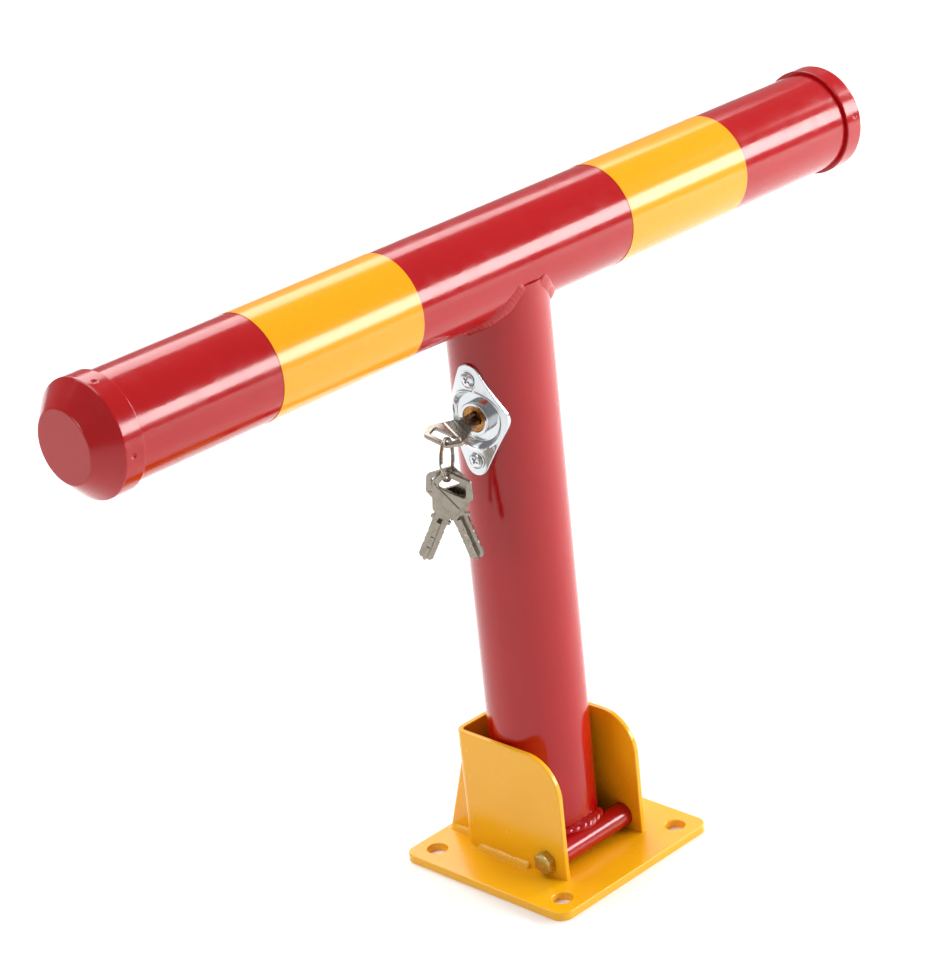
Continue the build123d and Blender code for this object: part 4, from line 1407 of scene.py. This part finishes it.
@dataclass
class KeySet:
    """The key in the lock, the split ring through its bow, and two spare keys hung from it."""

    shop: Workshop
    lock_key_end: float = 64.5
    rim: float = 3.2
    ring_r: float = 11.6
    wire_radial: float = 1.6
    wire_axial: float = 1.0
    step_at: float = 3.3
    hinge_to_rim: float = 2.371
    lateral: float = 4.4
    tilt_front: float = -26.0
    tilt_back: float = 18.0

    def build(self) -> None:
        """Make the three keys and the ring."""
        lock = lock_axes()
        bow = lock.moved(out=self.lock_key_end)
        roll = np.radians(KEY_ROLL)
        face = lock.up * np.cos(roll) - lock.right * np.sin(roll)
        rolled = Axes(bow.origin, lock.out, np.cross(face, lock.out), face)
        Key(self.shop, rolled, "key", "lock_key").build()
        self.build_ring()
        self.hang("spare_front_swing", "spare_front", "spare_key_front", self.lateral, self.tilt_front, 1)
        self.hang("spare_back_swing", "spare_back", "spare_key_back", -self.lateral, self.tilt_back, 2)

    def hang(self, joint: str, body: str, node: str, lateral: float, tilt: float, seed: int) -> None:
        """Hang a spare key by its slot from the ring.

        The blade points down, turned by its tilt about the ring's wire, and the slot's rim lies
        just inside the wire, off to one side by lateral.

        Args:
            joint: the joint that the key swings on.
            body: the CAD body it moves with.
            node: the CAD node it stands for.
            lateral: how far the wire lies to one side of the slot's middle.
            tilt: how far the blade leans from straight down, in degrees.
            seed: picks how deep its notches are.
        """
        hinge, along = joint_axis(joint)
        _, normal = joint_axis("ring_swing")
        lean = np.radians(tilt)
        up = UP * np.cos(lean) - normal * np.sin(lean)
        sideways = np.cross(along, up)
        end = hinge + up * (self.rim + self.hinge_to_rim) - sideways * lateral
        Key(self.shop, Axes(end, up, sideways, along), body, node, seed).build()

    def build_ring(self) -> None:
        """Wind the split ring: two turns of flat wire side by side.

        The wire stands half its width to one side of the ring's middle for the first turn and
        steps over, just short of a turn later, to the other side, beside both of its own ends.
        """
        low, high = corner_boxes("key_ring")
        _, normal = joint_axis("ring_swing")
        axes = Axes((low + high) / 2, np.cross(UP, normal), UP, normal)
        gap = 0.05
        turn = np.linspace(gap * TURN, (2 - gap) * TURN, 420)[:, None]
        side = self.wire_axial * (step_up(turn, (1 - gap * 0.9) * TURN, (1 + gap * 0.9) * TURN) - 0.5)
        round_wire = np.linspace(0, TURN, 28, endpoint=False)[None, :]
        cosine, sine = np.cos(round_wire), np.sin(round_wire)
        full = np.ones_like(turn)
        full[[0, -1]] = 0
        full[[1, -2]] = 0.9
        turn[0], turn[-1] = turn[1], turn[-2]
        depth = full * self.wire_radial / 2 * np.sign(cosine) * np.abs(cosine) ** 0.5
        width = full * self.wire_axial / 2 * 0.97 * np.sign(sine) * np.abs(sine) ** 0.5
        radius, angle = self.ring_r + depth, turn + self.step_at
        points = axes.at(radius * np.cos(angle), radius * np.sin(angle), side + width)
        self.shop.add("split_ring", [Shell(points, columns_close=True)], Slot.NICKEL, "ring", ["key_ring"])


# ------------------------------------------------------------------ studio
@dataclass(frozen=True)
class Softbox:
    """An area light that faces a point.

    Args:
        name: the light's name.
        place: where it stands, in metres.
        target: what it faces, in metres.
        size: width and height, in metres.
        power: watts.
    """

    name: str
    place: tuple[float, float, float]
    target: tuple[float, float, float]
    size: tuple[float, float]
    power: float

    def build(self) -> None:
        """Make the light and turn it to its target."""
        lamp = bpy.data.lights.new(self.name, "AREA")
        lamp.shape = "RECTANGLE"
        lamp.size, lamp.size_y = self.size
        lamp.energy = self.power
        stand = bpy.data.objects.new(self.name, lamp)
        stand.location = self.place
        aim = Vector(self.target) - Vector(self.place)
        stand.rotation_euler = aim.to_track_quat("-Z", "Y").to_euler()
        bpy.context.scene.collection.objects.link(stand)


@dataclass
class Studio:
    """A pale floor, a pale room, soft lights and the camera."""

    floor_half: float = 9.0
    room: str = "#FFFFFF"
    room_strength: float = 0.36
    camera_place: tuple[float, float, float] = (-1.1186, -1.1209, 0.9056)
    camera_turn: tuple[float, float, float] = (66.921, 5.6388, -46.3845)
    lens: float = 112.86
    sensor: float = 36.0
    softboxes: tuple[Softbox, ...] = (
        Softbox("front_window", (1.65, -2.0, 0.9), (0, 0, 0.36), (1.6, 0.8), 52.0),
        Softbox("left_fill", (-2.6, 0.2, 1.3), (0, 0, 0.25), (1.0, 1.0), 14.0),
        Softbox("right_window", (2.2, -0.5, 0.9), (0.1, 0, 0.25), (0.9, 1.3), 38.0),
        Softbox("top", (-0.1, 0.9, 2.6), (0, 0, 0.2), (2.4, 2.4), 50.0),
        Softbox("back_wash", (2.2, 3.4, 3.0), (2.6, 3.4, 0.0), (4.0, 3.0), 150.0),
    )

    def build(self) -> None:
        """Make the floor, the room's light, the softboxes and the camera."""
        corners = self.floor_half * np.array([(-1, -1, 0), (1, -1, 0), (1, 1, 0), (-1, 1, 0)], float)
        mesh = bpy.data.meshes.new("floor")
        mesh.from_pydata(corners, [], [(0, 1, 2, 3)])
        floor = bpy.data.objects.new("floor", mesh)
        bpy.context.scene.collection.objects.link(floor)
        mesh.materials.append(Finish("#F4F4F3", 0.75).material("matt_white_card"))
        world = bpy.data.worlds.new("pale_room")
        world.use_nodes = True
        background = world.node_tree.nodes["Background"]
        background.inputs["Color"].default_value = linear(self.room)
        background.inputs["Strength"].default_value = self.room_strength
        bpy.context.scene.world = world
        bpy.context.scene.view_settings.view_transform = "Standard"
        for softbox in self.softboxes:
            softbox.build()
        self.build_camera()

    def build_camera(self) -> None:
        """Stand the camera and make it the scene's."""
        camera = bpy.data.cameras.new("camera")
        camera.lens = self.lens
        camera.sensor_width = self.sensor
        stand = bpy.data.objects.new("camera", camera)
        stand.location = self.camera_place
        stand.rotation_euler = tuple(np.radians(self.camera_turn))
        bpy.context.scene.collection.objects.link(stand)
        bpy.context.scene.camera = stand


def main() -> None:
    """Build everything in order."""
    logging.basicConfig(level=logging.INFO, format="%(message)s")
    shop = Workshop()
    shop.dress_nodes()
    Foot(shop).build()
    Pivot(shop).build()
    Crossbar(shop).build()
    Lock(shop).build()
    KeySet(shop).build()
    Studio().build()


if __name__ == "__main__":
    main()
